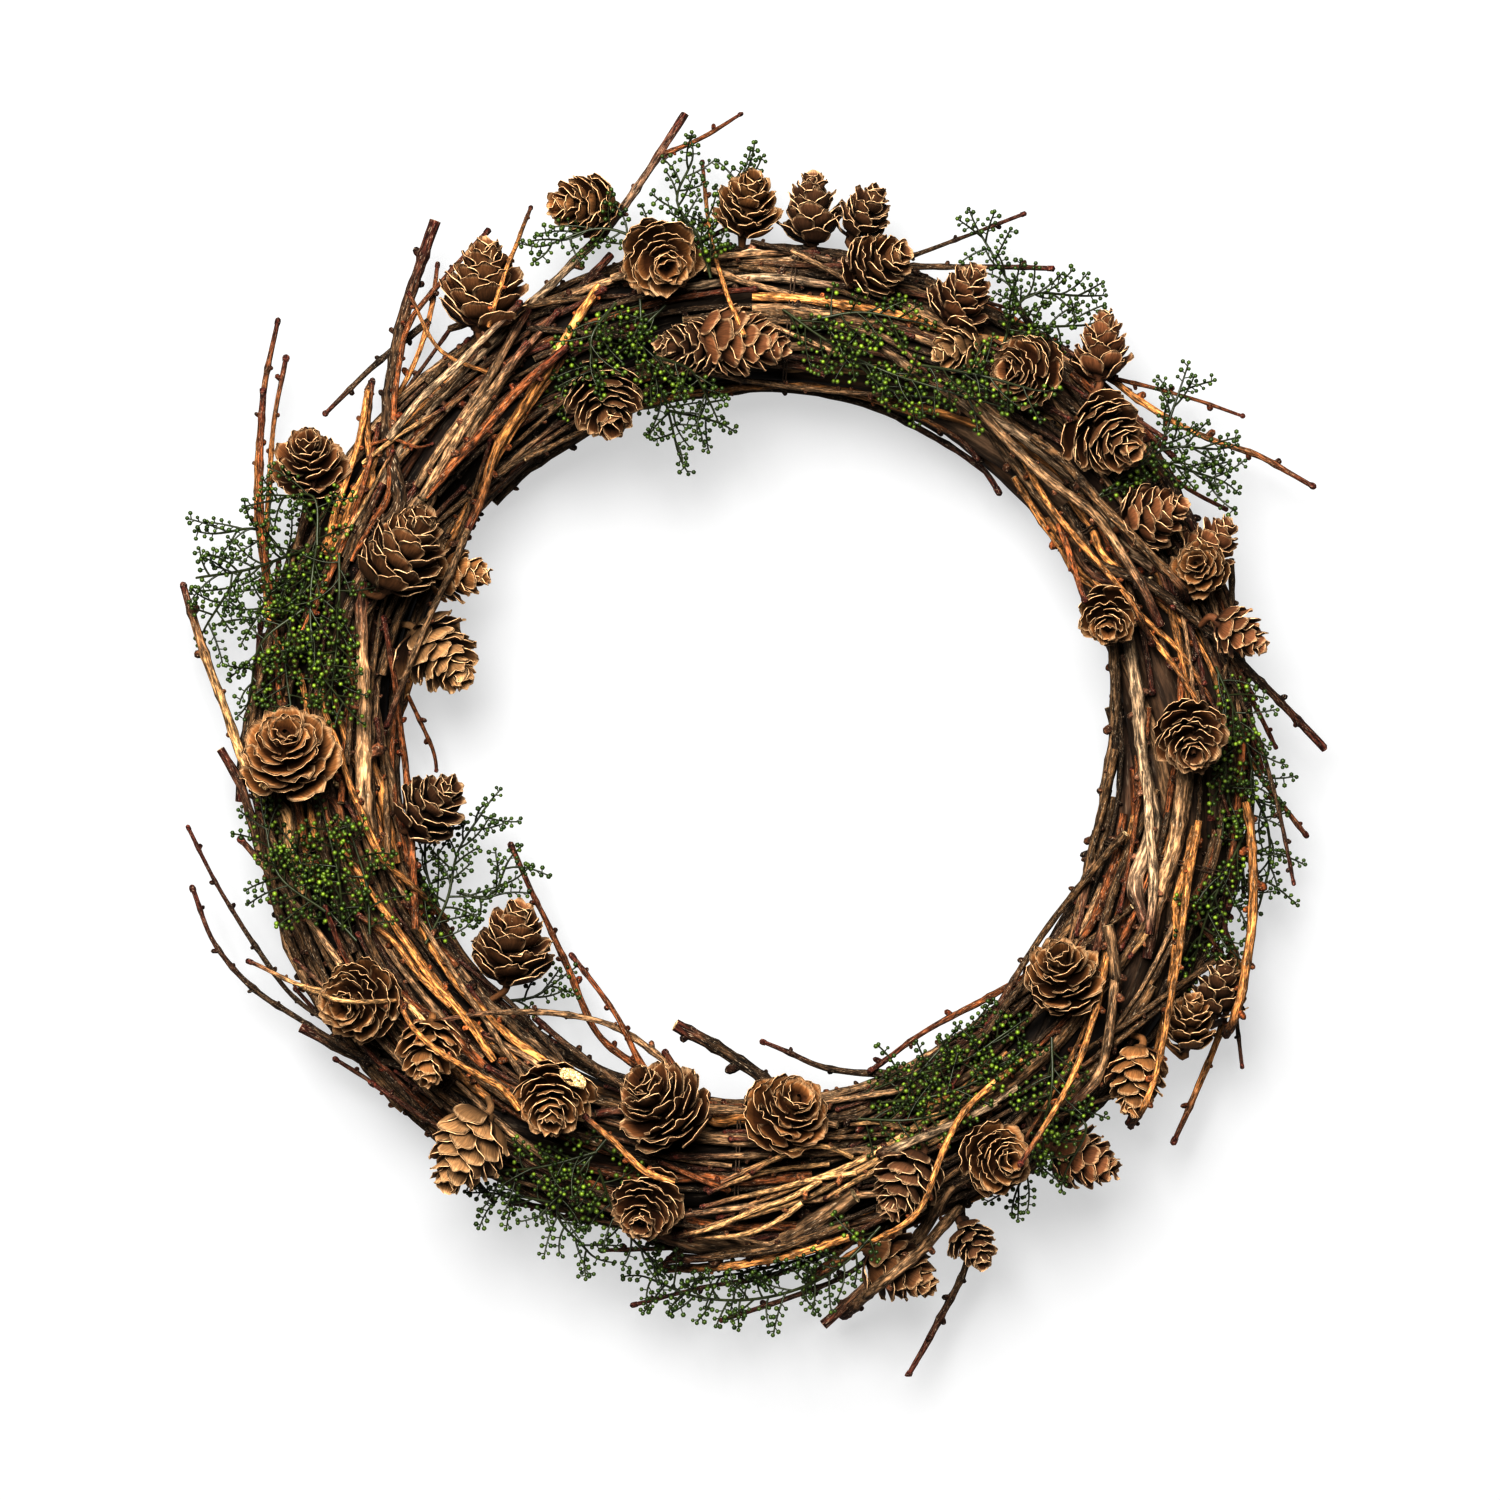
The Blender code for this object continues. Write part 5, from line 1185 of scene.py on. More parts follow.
def twig(shape, route, radii, kind, draws, sides=8, fine=0.0018, knobs=1.0):
    """A larch twig, slightly kinked, with knobby spurs and a cut butt. Its tip is a dark bud, or cut if thick."""
    curve = smooth_through(route, fine)
    count = len(curve)
    share = along(curve) / along(curve)[-1]
    thick = np.interp(share, along(route) / along(route)[-1], radii)
    ways, across, up = frames(curve)
    wander = np.minimum(thick, WANDER_WIDEST) * WANDER
    curve = curve + across * (wander * noise_along(count, 5, draws))[:, None]
    curve = curve + up * (0.6 * wander * noise_along(count, 6, draws))[:, None]
    places = along(curve)
    spots = []
    place = draws.uniform(*FIRST_NODE)
    while place < places[-1] - LAST_NODE:
        spots.append(place)
        place += draws.uniform(*NODE_SPACING)
    for place in spots:
        thick = thick * (1 + NODE_SWELL * bell(places, place, SWELL_REACH))
    tip = thick[-1] < CUT_TIP
    if not tip:
        thick = thick * (1 + CUT_FULL * share)
    tints = twig_tints(kind, count, share, draws)
    for place in spots:
        tints = tints * (1 - NODE_DARK * bell(places, place, DARK_REACH))[:, None]
    course = tube(shape, curve, thick, sides, tints, draws)
    cut = np.array(CUT_WOOD) * draws.uniform(0.7, 1.1)
    end = tints[-1] if tip else CUT_WOOD
    close_ends(shape, curve, course, thick, sides, cut, end, thick[-1] * (0.5 if tip else 0.1))
    if tip:
        way = course[0][-1]
        bud(shape, curve[-1] - way * thick[-1], way, thick[-1] * draws.uniform(1.5, 2.3) + END_BUD,
            thick[-1] * 1.1 + END_BUD, np.array(TIP_BARK) * draws.uniform(0.6, 1.3), draws)
    add_spurs(shape, curve, course, thick, tints, spots, knobs, draws)


def add_spurs(shape, curve, course, thick, tints, spots, knobs, draws):
    """The spurs of a twig, to both sides by turns. Some spots go without one if knobs is less than 1."""
    ways, across, up = course
    places = along(curve)
    hand = 1 if draws.random() < 0.5 else -1
    for place in spots:
        at = int(np.argmin(abs(places - place)))
        hand = -hand
        if draws.random() > knobs:
            continue
        turn = draws.uniform(-0.5, 0.9)
        out = across[at] * hand * math.cos(turn) + up[at] * math.sin(turn)
        way = out * math.sin(SPUR_LEAN) + ways[at] * math.cos(SPUR_LEAN)
        size = (SPUR_BASE + thick[at] * draws.uniform(0.15, 0.5)) * draws.uniform(0.7, 1.25)
        bud(shape, curve[at] + out * thick[at] * 0.75, way, size * draws.uniform(1.1, 2.0), size * 0.85,
            tints[at] * np.array(SPUR_DARK), draws)


def hoop_point(turn, side, rho):
    """Points rho from the middle of the hoop's section, at an angle round the ring and one round the section."""
    out = HOOP_RADIUS + rho * np.cos(side)
    return np.stack((out * np.cos(turn), out * np.sin(turn), HOOP_HEIGHT + rho * np.sin(side)), axis=-1)


def bare_share(angle):
    """From 1 where the hoop shows bare to 0 where twigs cover it."""
    off = abs((angle - BARE_MIDDLE + 180) % 360 - 180)
    return np.clip((BARE_SPAN + BARE_EASE - off) / BARE_EASE, 0, 1)


def build_hoop(draws):
    """The thick stems, each closed on itself, and thinner ones that lie in the grooves between them."""
    shape = Shape()
    steps = HOOP_STEPS
    turn = np.arange(steps) / steps * 2 * np.pi
    for k in range(STEM_COUNT):
        radius = STEM_THICK * draws.uniform(0.93, 1.05)
        swell = 1 + 0.05 * np.sin(turn * 3 + draws.uniform(0, 6)) + 0.03 * np.sin(turn * 11 + draws.uniform(0, 6))
        thick = radius * swell
        side = STEM_TURNS * turn + math.pi / 2 + 2 * math.pi * k / STEM_COUNT
        side = side + 0.05 * np.sin(turn * 4 + draws.uniform(0, 6))
        points = hoop_point(turn, side, HOOP_WIDEST - thick * 1.02)
        patches = 1 + 0.25 * np.sin(turn * 5 + draws.uniform(0, 6)) + 0.1 * draws.normal(size=steps)
        # Painted shade where the twigs cover the hoop, none where it shows bare
        shade = COVERED_PAINTED_SHADE + (1 - COVERED_PAINTED_SHADE) * bare_share(np.degrees(turn))
        tints = np.array(HOOP_BARKS[k % len(HOOP_BARKS)]) * (patches * shade)[:, None]
        tube(shape, points, thick, 12, tints, draws, 0.022, closed=True)
    for k in range(GROOVE_STEMS):
        length = draws.uniform(*GROOVE_LENGTH)
        turn = draws.uniform(0, 2 * np.pi) + np.linspace(0, length, int(length * GROOVE_STEPS))
        radius = draws.uniform(*GROOVE_THICK)
        side = STEM_TURNS * turn + math.pi / 2 + 2 * math.pi * (k % STEM_COUNT + 0.5) / STEM_COUNT
        side = side + 0.12 * noise_along(len(turn), 14, draws)
        rho = GROOVE_RHO + 0.0008 * noise_along(len(turn), 10, draws)
        points = hoop_point(turn, side, np.minimum(rho, HOOP_WIDEST - radius))
        bark = np.array(BARKS[GROOVE_BARKS[k % len(GROOVE_BARKS)]])
        thick = radius * (1 + 0.12 * noise_along(len(turn), 6, draws))
        # The groove stems carry painted shade
        tints = bark * GROOVE_PAINTED_SHADE * (1 + 0.3 * noise_along(len(turn), 8, draws))[:, None]
        course = tube(shape, points, thick, 7, tints, draws)
        close_ends(shape, points, course, thick, 7, CUT_WOOD, TIP_BARK, thick[-1])
    return shape


def wrapped(laid, start, length, side, drift, radius, leave, draws):
    """A thin twig laid on the hoop, clockwise, pushed outwards until it clears what is there."""
    count = max(8, int(length / WRAP_STEP))
    share = np.linspace(0, 1, count)
    turn = start - share * length / HOOP_RADIUS
    sides = side + drift * share + 0.10 * noise_along(count, 9, draws)
    thick = radius * (1 - 0.4 * share)
    rho = HOOP_WIDEST + thick + WRAP_GAP + leave * np.clip((share - 0.65) / 0.35, 0, 1) ** 2
    for _ in range(WRAP_ROUNDS):
        points = hoop_point(turn, sides, rho)
        need = np.clip(WRAP_GAP - laid.room(points, thick), 0, WRAP_LIFT)
        if not need.any():
            break
        wide = np.maximum(np.maximum(np.roll(need, 1), np.roll(need, -1)) * 0.8, need)
        rho = np.minimum(rho + wide, HOOP_WIDEST + WRAP_REACH + leave * share**3)
    rho[1:-1] = np.convolve(rho, (0.25, 0.5, 0.25), "valid")
    return hoop_point(turn, sides, rho), thick


def nearest_bundle(angle):
    """The bundle whose wire is nearest to an angle."""
    return min(BUNDLES, key=lambda name: abs((BUNDLES[name][0] - angle + 180) % 360 - 180))


def fill_twigs(laid, draws):
    """The finer twigs that cover the hoop between the laid ones, by the bundle nearest to them."""
    found = {name: [] for name in BUNDLES}
    for k in range(FILL_COUNT):
        start = 2 * math.pi * (k * STEP_ROUND % 1)
        side = math.radians(FILL_SIDES[0] + (FILL_SIDES[1] - FILL_SIDES[0]) * (k * STEP_ACROSS % 1))
        length = draws.uniform(*FILL_LENGTH)
        radius = draws.uniform(*FILL_RADIUS)
        middle = math.degrees(start - length / HOOP_RADIUS / 2)
        if bare_share(middle) == 1 and side > math.radians(BARE_FROM):
            continue
        drift = draws.uniform(-FILL_DRIFT, FILL_DRIFT)
        leave = draws.choice(FILL_LEAVES) if math.cos(side) > 0.2 else 0.0
        points, thick = wrapped(laid, start, length, side, drift, radius, leave, draws)
        laid.add(points[::3], thick[::3], ("fill", k))
        found[nearest_bundle(middle)].append((points, thick, FILL_BARKS[k % len(FILL_BARKS)]))
    return found


def straight_sticks(laid, draws):
    """Stiff straight sticks across the ring's bend, over what is there, by the bundle nearest to them."""
    found = {name: [] for name in BUNDLES}
    for k in range(STICK_COUNT):
        angle = 360 * (k * STEP_ROUND % 1)
        off = STICK_SPREAD * (2 * (k * STEP_ACROSS % 1) - 1)
        length = draws.uniform(*STICK_LENGTH)
        heading = math.radians(angle - 90 + draws.normal(0, STICK_TURN))
        way = np.array((math.cos(heading), math.sin(heading)))
        count = int(length / STICK_STEP)
        plan = spot(angle, HOOP_RADIUS + off) + np.outer(np.linspace(-0.5, 0.5, count), way) * length
        bow = draws.uniform(-1, 1) * STICK_BOW * length
        plan = plan + np.outer(bow * (1 - np.linspace(-1, 1, count) ** 2), (-way[1], way[0]))
        thick = draws.uniform(*STICK_THICK) * np.linspace(1, 0.72, count)
        route = np.column_stack((plan, np.zeros(count)))
        route[:, 2] = draped(route, thick)
        short, before = settle(route, thick, np.zeros(count, bool), laid)
        high = short | (sampled(route, thick)[0][:, 2] > STICK_CAP)
        if high.any():
            first, last = longest_clear(high, before, count, count // 2)
            route, thick = route[first:last + 1], thick[first:last + 1]
        reach = np.hypot(route[:, 0], route[:, 1])
        bare = bare_share(angle) == 1 and reach.min() < HOOP_RADIUS - BARE_CLEAR
        if bare or len(route) < 5 or reach.max() > STICK_OUT or reach.min() < STICK_IN:
            continue
        laid.add(route, thick, ("stick", k))
        found[nearest_bundle(angle)].append((route, thick, STICK_BARKS[k % len(STICK_BARKS)]))
    return found


def top_at(cover, x, y):
    """How high the wreath is at a place, from a ray sent down on it."""
    hit = cover.ray_cast(Vector((x + ORIGIN[0], y + ORIGIN[1], 0.3)), Vector((0, 0, -1)))[0]
    return hit.z if hit else 0.0


def rods_top(laid, x, y):
    """How high the fine twigs are at a place."""
    start, way = laid.start[:, :2], laid.end[:, :2] - laid.start[:, :2]
    share = np.clip(((np.array((x, y)) - start) * way).sum(1) / np.maximum((way**2).sum(1), 1e-12), 0, 1)
    off = np.linalg.norm(start + way * share[:, None] - (x, y), axis=1)
    radius = laid.start_radius + (laid.end_radius - laid.start_radius) * share
    height = laid.start[:, 2] + (laid.end[:, 2] - laid.start[:, 2]) * share
    over = off < radius
    return (height + np.sqrt(np.maximum(radius**2 - off**2, 0)))[over].max() if over.any() else 0.0


def lies_over(cover, fine, bends, radius):
    """The route of a stiff stick that lies on top of twigs and cones. It rests on the highest of them."""
    route = smooth_through([(x * MM, y * MM, 0) for x, y in bends], OVER_STEP)
    places = along(route)
    tops = np.array([max(max(top_at(cover, x + dx, y + dy), rods_top(fine, x + dx, y + dy))
                         for dx, dy in ((0, 0), (radius, 0), (-radius, 0), (0, radius), (0, -radius)))
                     for x, y, _ in route])
    tops = np.maximum(tops + radius + OVER_GAP, OVER_LEAST)
    hull = [0]
    while hull[-1] < len(route) - 1:
        at = hull[-1]
        slopes = (tops[at + 1:] - tops[at]) / (places[at + 1:] - places[at])
        hull.append(at + 1 + int(np.argmax(slopes)))
    route[:, 2] = np.interp(places, places[hull], tops[hull])
    return route


def chip(shape, cover, place, draws):
    """A flat chip of pale wood, or a loose bract, that lies on the wreath."""
    x, y, heading, length, width = place
    turns = 2 * np.pi * np.arange(CHIP_SIDES) / CHIP_SIDES
    way = np.array((math.cos(math.radians(heading)), math.sin(math.radians(heading)), 0.0))
    across = np.array((-way[1], way[0], 0.0))
    centre = np.array((x * MM, y * MM, top_at(cover, x * MM, y * MM) + CHIP_THICK + OVER_GAP))
    ring = np.cos(turns)[:, None] * way * length / 2 * MM + np.sin(turns)[:, None] * across * width / 2 * MM
    ring = ring * draws.uniform(0.88, 1.08, (CHIP_SIDES, 1))
    up = np.array((0.0, 0.0, CHIP_THICK))
    rings = [centre + ring * wide + up * high for high, wide in zip(CHIP_HEIGHTS, CHIP_WIDTHS)]
    points = np.vstack(rings + [centre - up, centre + up * 0.8])
    below = len(rings) * CHIP_SIDES
    tris = fan(CHIP_SIDES, 0, below, under=True) + fan(CHIP_SIDES, below - CHIP_SIDES, below + 1)
    tint = np.array(CHIP_TINT) * draws.uniform(0.85, 1.1)
    shape.add(points, ring_faces(len(rings), CHIP_SIDES), tris, tint, points * 700, 0.0)


def bind_wire(shape, wire_angle, draws):
    """Two thin turns of wire over the twigs of a bundle."""
    for k in (-0.5, 0.5):
        sides = np.radians(np.linspace(WIRE_FROM, WIRE_TO, WIRE_STEPS))
        rho = np.interp(np.degrees(sides), WIRE_SIDES, WIRE_REACHES) + 0.0002 * noise_along(WIRE_STEPS, 5, draws)
        turn = np.full(WIRE_STEPS, math.radians(wire_angle + k * WIRE_APART))
        points = hoop_point(turn, sides, rho)
        tube(shape, points, np.full(WIRE_STEPS, WIRE_THIN), 6, np.array(WIRE_TINT), draws, 0.0)


def scale_form(cone, t, u, v, draws):
    """A scale's points as distances out from the cone's axis, along it and to the side: it leaves the axis, rises
    to the cone's outline, and its rim turns outwards. u runs across the scale and v from its root to its end.
    """
    radius, length = cone.radius, cone.length
    root_height = length * 0.74 * t
    tip_height = length * min(1.0, SCALE_RISE + (1 - SCALE_RISE) * t ** 0.9 + draws.normal(0, 0.018))
    crown = radius * CROWN * (1 - 0.75 * max(0, (t - 0.75) / 0.25))
    tip_radius = max(radius * cone_profile(min(1, tip_height / length)), crown) * draws.uniform(0.84, 1.03)
    root_radius = radius * 0.16 * (1 - 0.6 * t)
    bend_r = root_radius + (tip_radius - root_radius) * SCALE_CUP
    bend_h = root_height + (tip_height - root_height) * 0.18
    r = (1 - v) ** 2 * root_radius + 2 * v * (1 - v) * bend_r + v**2 * tip_radius
    h = (1 - v) ** 2 * root_height + 2 * v * (1 - v) * bend_h + v**2 * tip_height
    rim = rim_share(v)
    r = r + rim**1.5 * radius * RIM_OUT * (1 - 0.6 * t) * draws.uniform(0.2, 1.9)
    half = radius * (SCALE_BROAD - SCALE_TAPER * t) * draws.uniform(0.85, 1.1)
    side = u * half * np.interp(v, OUTLINE_AT, OUTLINE_WIDTHS)
    wrap = max(0.35 * radius, tip_radius)
    r = r - side**2 / (2 * wrap) * 1.15
    edge_up = abs(u) ** 3 * rim * radius * draws.uniform(-0.03, 0.05) + u**2 * rim * radius * ROUND_END
    wave = RIM_WAVE * radius * np.sin(u * draws.uniform(2.5, 5) + draws.uniform(0, 6)) * rim
    ragged = RIM_RAGGED * radius * draws.normal(size=SCALE_ACROSS) * (v > 0.99)
    r, h = r + wave + ragged, h + edge_up + wave * draws.uniform(-1.5, 1.5)
    tilt = draws.normal(0, 0.12)
    return r, h + side * tilt, side


def rim_share(v):
    """From 0 on a scale to 1 at its end, over the part that is its rim."""
    return np.clip((v - RIM_FROM) / RIM_OVER, 0, 1)


def scale_faces():
    """The quads of a scale: its front, its back and the strip round its rim."""
    rows, columns = len(SCALE_ROWS), SCALE_ACROSS
    front = rows * columns
    quads = []
    for i in range(rows - 1):
        for j in range(columns - 1):
            a, b = i * columns + j, i * columns + j + 1
            c, d = b + columns, a + columns
            quads += [(a, b, c, d), (a + front, d + front, c + front, b + front)]
    loop = ([i * columns for i in range(rows)] + [(rows - 1) * columns + j for j in range(1, columns)]
            + [(rows - 1 - i) * columns + columns - 1 for i in range(1, rows)])
    return quads + [(a, a + front, b + front, b) for a, b in zip(loop, loop[1:])]


def add_scale(shape, cone, t, phi, quads, draws):
    """One thin cupped scale, t of the way up its cone and at the angle phi round it."""
    u, v = np.meshgrid(np.linspace(-1, 1, SCALE_ACROSS), np.array(SCALE_ROWS))
    r, h, side = scale_form(cone, t, u, v, draws)
    x_axis = np.array(Vector(cone.axis).orthogonal().normalized())
    y_axis = np.cross(cone.axis, x_axis)
    radial = math.cos(phi) * x_axis + math.sin(phi) * y_axis
    lateral = -math.sin(phi) * x_axis + math.cos(phi) * y_axis
    front = cone.base() + r[..., None] * radial + side[..., None] * lateral + h[..., None] * cone.axis
    dr, dh = np.gradient(r, axis=0), np.gradient(h, axis=0)
    size = np.hypot(dr, dh) + 1e-9
    thick = SCALE_THICK * (1.5 - 0.9 * v)
    inward = (-dh / size)[..., None] * radial + (dr / size)[..., None] * cone.axis
    back = front + inward * thick[..., None]
    points = np.concatenate((front.reshape(-1, 3), back.reshape(-1, 3)))
    edge = np.clip(np.maximum(abs(u) ** 4 * np.clip(v * 2.2, 0, 1), rim_share(v)), 0, 1)
    tint = np.array(cone.tint) * draws.uniform(0.7, 1.35)
    tints = np.repeat(tint[None], 2 * v.size, axis=0)
    # Painted shade on the front near the root; on the back painted shade that gives way to painted light at the
    # scale's end
    tints[:v.size] *= (ROOT_PAINTED_SHADE + (1 - ROOT_PAINTED_SHADE) * np.clip(v.reshape(-1, 1) / ROOT_OVER, 0, 1))
    lit = np.clip((v.reshape(-1, 1) - 0.5) / 0.5, 0, 1)
    tints[v.size:] *= np.array(INNER_PAINTED_SHADE) * (1 - lit) + np.array(INNER_END_PAINTED_LIGHT) * lit
    grain = np.empty((2, *v.shape, 3))
    offset = draws.uniform(0, 40, 3)
    grain[..., 0] = u * 1.6 / (0.5 + 0.5 * v) + offset[0]
    grain[..., 1] = v * 0.5 + offset[1]
    grain[..., 2] = offset[2]
    shape.add(points, quads, [], tints, grain.reshape(-1, 3), np.tile(edge.ravel(), 2))


def build_cone(shape, cone, tone, carrier, draws):
    """A larch cone: thin scales in a spiral on a slim core, with a short stalk down to what carries it."""
    count = round(SCALES * cone.length / USUAL_LENGTH)
    cone.tint = np.array(SCALE_TINTS[tone]) * draws.uniform(0.9, 1.1)
    phi = draws.uniform(0, 2 * math.pi)
    quads = scale_faces()
    for i in range(count):
        phi += GOLDEN_TURN
        add_scale(shape, cone, (i + 0.5) / count, phi, quads, draws)
    heights = np.linspace(0.0, CORE_HEIGHT, len(CORE_WIDTHS))
    core = np.array([cone.base() + cone.axis * cone.length * s for s in heights])
    tube(shape, core, cone.radius * np.array(CORE_WIDTHS), 8, cone.tint * CORE_SHADE, draws)
    base = cone.base()
    nearest, _, _, far = carrier.find_nearest(Vector(base + ORIGIN))
    end = np.array(nearest) - ORIGIN
    way = (end - base) / max(far, 1e-6)
    start = base + cone.axis * cone.length * 0.06
    middle = base - cone.axis * min(0.3 * far, 0.002)
    line = smooth_through([start, middle, end + way * 0.0006], 0.0008)
    tube(shape, line, np.linspace(*STALK_THICK, len(line)), 7, cone.tint * STALK_SHADE, draws)


def ball(shape, centre, radius, tint, draws):
    """A berry: a small round body of six sides, with painted light as if lit from above."""
    turns = 2 * np.pi * np.arange(6) / 6 + draws.uniform(0, 1)
    levels = np.array((-0.5, 0.5))
    widths = np.sqrt(1 - levels**2)
    rings = [centre + radius * np.column_stack((np.cos(turns) * w, np.sin(turns) * w, np.full(6, z)))
             for z, w in zip(levels, widths)]
    points = np.vstack(rings + [centre - (0, 0, radius), centre + (0, 0, radius)])
    tris = fan(6, 0, 12, under=True) + fan(6, 6, 13)
    # Painted light: the berry's top brighter, its underside darker
    shape.add(points, ring_faces(2, 6), tris, tint * BALL_PAINTED_LIGHT[:, None], points * 600, 0.0)


def stem(shape, line, radius, tint, draws, sides=5):
    """A thin green stem, a bit thinner at its tip."""
    tube(shape, line, np.linspace(radius, radius * 0.7, len(line)), sides, np.array(tint), draws, 0.03)


def berry_sprig(shape, start, way, length, laid, kept_clear, node, draws):
    """A thin curved sprig with berries on short stalks to both sides. Returns False where there is no room."""
    side = np.cross(way, (0, 0, 1.0))
    side /= np.linalg.norm(side) + 1e-9
    bow = draws.uniform(-0.45, 0.45)
    share = np.linspace(0, 1, 6)
    line = start + way * length * share[:, None] + side * (bow * length * share**2)[:, None]
    line[:, 2] += draws.uniform(-0.1, 0.22) * length * share**2
    reach = np.full(6, BERRY_SIZE)
    room = np.minimum(laid.room(line[1:], reach[1:], (node,)), hoop_room(line[1:], reach[1:]))
    low, high = BOX_LOW + SPRIG_MARGIN - ORIGIN, BOX_HIGH - SPRIG_MARGIN - ORIGIN
    covered = any(np.linalg.norm(line[-1, :2] - middle) < radius for middle, radius in kept_clear)
    if covered or (room < -SPRIG_PRESS).any() or (line < low).any() or (line > high).any():
        return False
    stem(shape, line, SPRIG_RADIUS, STEM_TINT, draws, 4)
    hand = 1
    count = max(4, round(length / BERRY_SPACING))
    for k in range(count):
        at = 0.22 + 0.78 * (k + 0.5) / count
        place = np.array([np.interp(at, share, line[:, j]) for j in range(3)])
        hand = -hand
        turn = draws.uniform(-1.0, 1.2)
        out = side * hand * math.cos(turn) + np.array((0, 0, 1.0)) * math.sin(turn) + way * 0.5
        out /= np.linalg.norm(out)
        far = BERRY_STALK * draws.uniform(0.5, 1.3)
        stem(shape, np.array((place, place + out * far)), SPRIG_RADIUS * 0.8, STEM_TINT, draws, 3)
        size = BERRY_SIZE * draws.uniform(0.75, 1.12)
        ball(shape, place + out * (far + size * 0.8), size, berry_tint(place, draws), draws)
    ball(shape, line[-1] + way * BERRY_SIZE * 0.7, BERRY_SIZE * 0.9, berry_tint(place, draws), draws)
    return True


def berry_tint(place, draws):
    """From dark blue-green to bright yellow-green, which few berries have, and hardly any beside the ring."""
    beside = abs(math.hypot(place[0], place[1]) - HOOP_RADIUS) > RING_HALF
    share = draws.random() ** BRIGHT_FEW * (BESIDE_SHARE if beside else 1)
    return np.array(BERRY_TINT) * (np.array(DARK_BERRY) * (1 - share) + np.array(BRIGHT_BERRY) * share)


def lay_stems(shape, node, laid, draws):
    """Lays the stems of a spray. Those that the part has too grow from the first one, after it."""
    lines = []
    for bends in SPRAYS[node] + MORE_STEMS.get(node, []):
        root = None
        if lines and bends in SPRAYS[node]:
            points = sampled(lines[0], np.ones(len(lines[0])))[0]
            start = spot(bends[0][0], bends[0][1] * MM)
            root = points[int(np.argmin(np.linalg.norm(points[:, :2] - start, axis=1)))]
        route, thick = lay_stem(bends, root, laid, node)
        if len(route) < 2:
            continue
        lines.append(route)
        stem(shape, smooth_through(route, 0.002), STEM_RADIUS, STEM_TINT, draws)
        laid.add(route, thick, node)
    return lines


def build_spray(node, laid, kept_clear, draws):
    """The stems of one spray, with sprigs to both sides by turns. A sprig without room gets five tries."""
    shape = Shape()
    for route in lay_stems(shape, node, laid, draws):
        curve = smooth_through(route, 0.0008)
        places = along(curve)
        place = 0.002
        hand = 1
        while place < places[-1]:
            at = int(np.argmin(abs(places - place)))
            way = curve[min(at + 2, len(curve) - 1)] - curve[max(at - 2, 0)]
            course = math.atan2(way[1], way[0])
            hand = -hand
            for _ in range(5):
                heading = course + hand * math.radians(draws.uniform(15, 85))
                lift = math.radians(draws.uniform(-15, 45))
                out = np.array((math.cos(heading) * math.cos(lift), math.sin(heading) * math.cos(lift),
                                math.sin(lift)))
                length = SPRIG_LENGTH * draws.uniform(0.7, 1.35)
                if berry_sprig(shape, curve[at], out, length, laid, kept_clear, node, draws):
                    break
            place += SPRIG_STEP * draws.uniform(0.7, 1.3)
        end = curve[-1] - curve[-4]
        out = end / np.linalg.norm(end)
        berry_sprig(shape, curve[-1], out, SPRIG_LENGTH * 0.8, laid, kept_clear, node, draws)
    return shape


class Finish:
    """A material in the making: its nodes, the links between them and its shader."""

    def __init__(self, name, roughness, specular):
        self.material = bpy.data.materials.new(name)
        self.material.use_nodes = True
        self.nodes, self.links = self.material.node_tree.nodes, self.material.node_tree.links
        self.shader = self.nodes["Principled BSDF"]
        self.shader.inputs["Roughness"].default_value = roughness
        self.shader.inputs["Specular IOR Level"].default_value = specular

    def attribute(self, name, output):
        node = self.nodes.new("ShaderNodeAttribute")
        node.attribute_name = name
        return node.outputs[output]

    def noise(self, vector, scale, detail, rough):
        node = self.nodes.new("ShaderNodeTexNoise")
        node.inputs["Scale"].default_value = scale
        node.inputs["Detail"].default_value = detail
        node.inputs["Roughness"].default_value = rough
        self.links.new(vector, node.inputs["Vector"])
        return node.outputs["Fac"]

    def ramp(self, value, stops):
        """Greys by a value, from stops of a place and a grey."""
        node = self.nodes.new("ShaderNodeValToRGB")
        elements = node.color_ramp.elements
        while len(elements) < len(stops):
            elements.new(0.5)
        for element, (place, grey) in zip(elements, stops):
            element.position = place
            element.color = (grey, grey, grey, 1)
        self.links.new(value, node.inputs["Fac"])
        return node.outputs["Color"]

    def mixed(self, blend, share, one, other):
        """Two colours blended. Each is a socket or a tint, and the share is a socket or a number."""
        node = self.nodes.new("ShaderNodeMix")
        node.data_type = "RGBA"
        node.blend_type = blend
        for name, value in (("Factor", share), ("A", one), ("B", other)):
            if isinstance(value, bpy.types.NodeSocket):
                self.links.new(value, node.inputs[name])
            else:
                node.inputs[name].default_value = value if name == "Factor" else (*value, 1)
        return node.outputs["Result"]

    def done(self, colour, height, strength, distance):
        """Joins the colour and the bumps of a height to the shader, and returns the material."""
        self.links.new(colour, self.shader.inputs["Base Color"])
        node = self.nodes.new("ShaderNodeBump")
        node.inputs["Strength"].default_value = strength
        node.inputs["Distance"].default_value = distance
        self.links.new(height, node.inputs["Height"])
        self.links.new(node.outputs["Normal"], self.shader.inputs["Normal"])
        return self.material


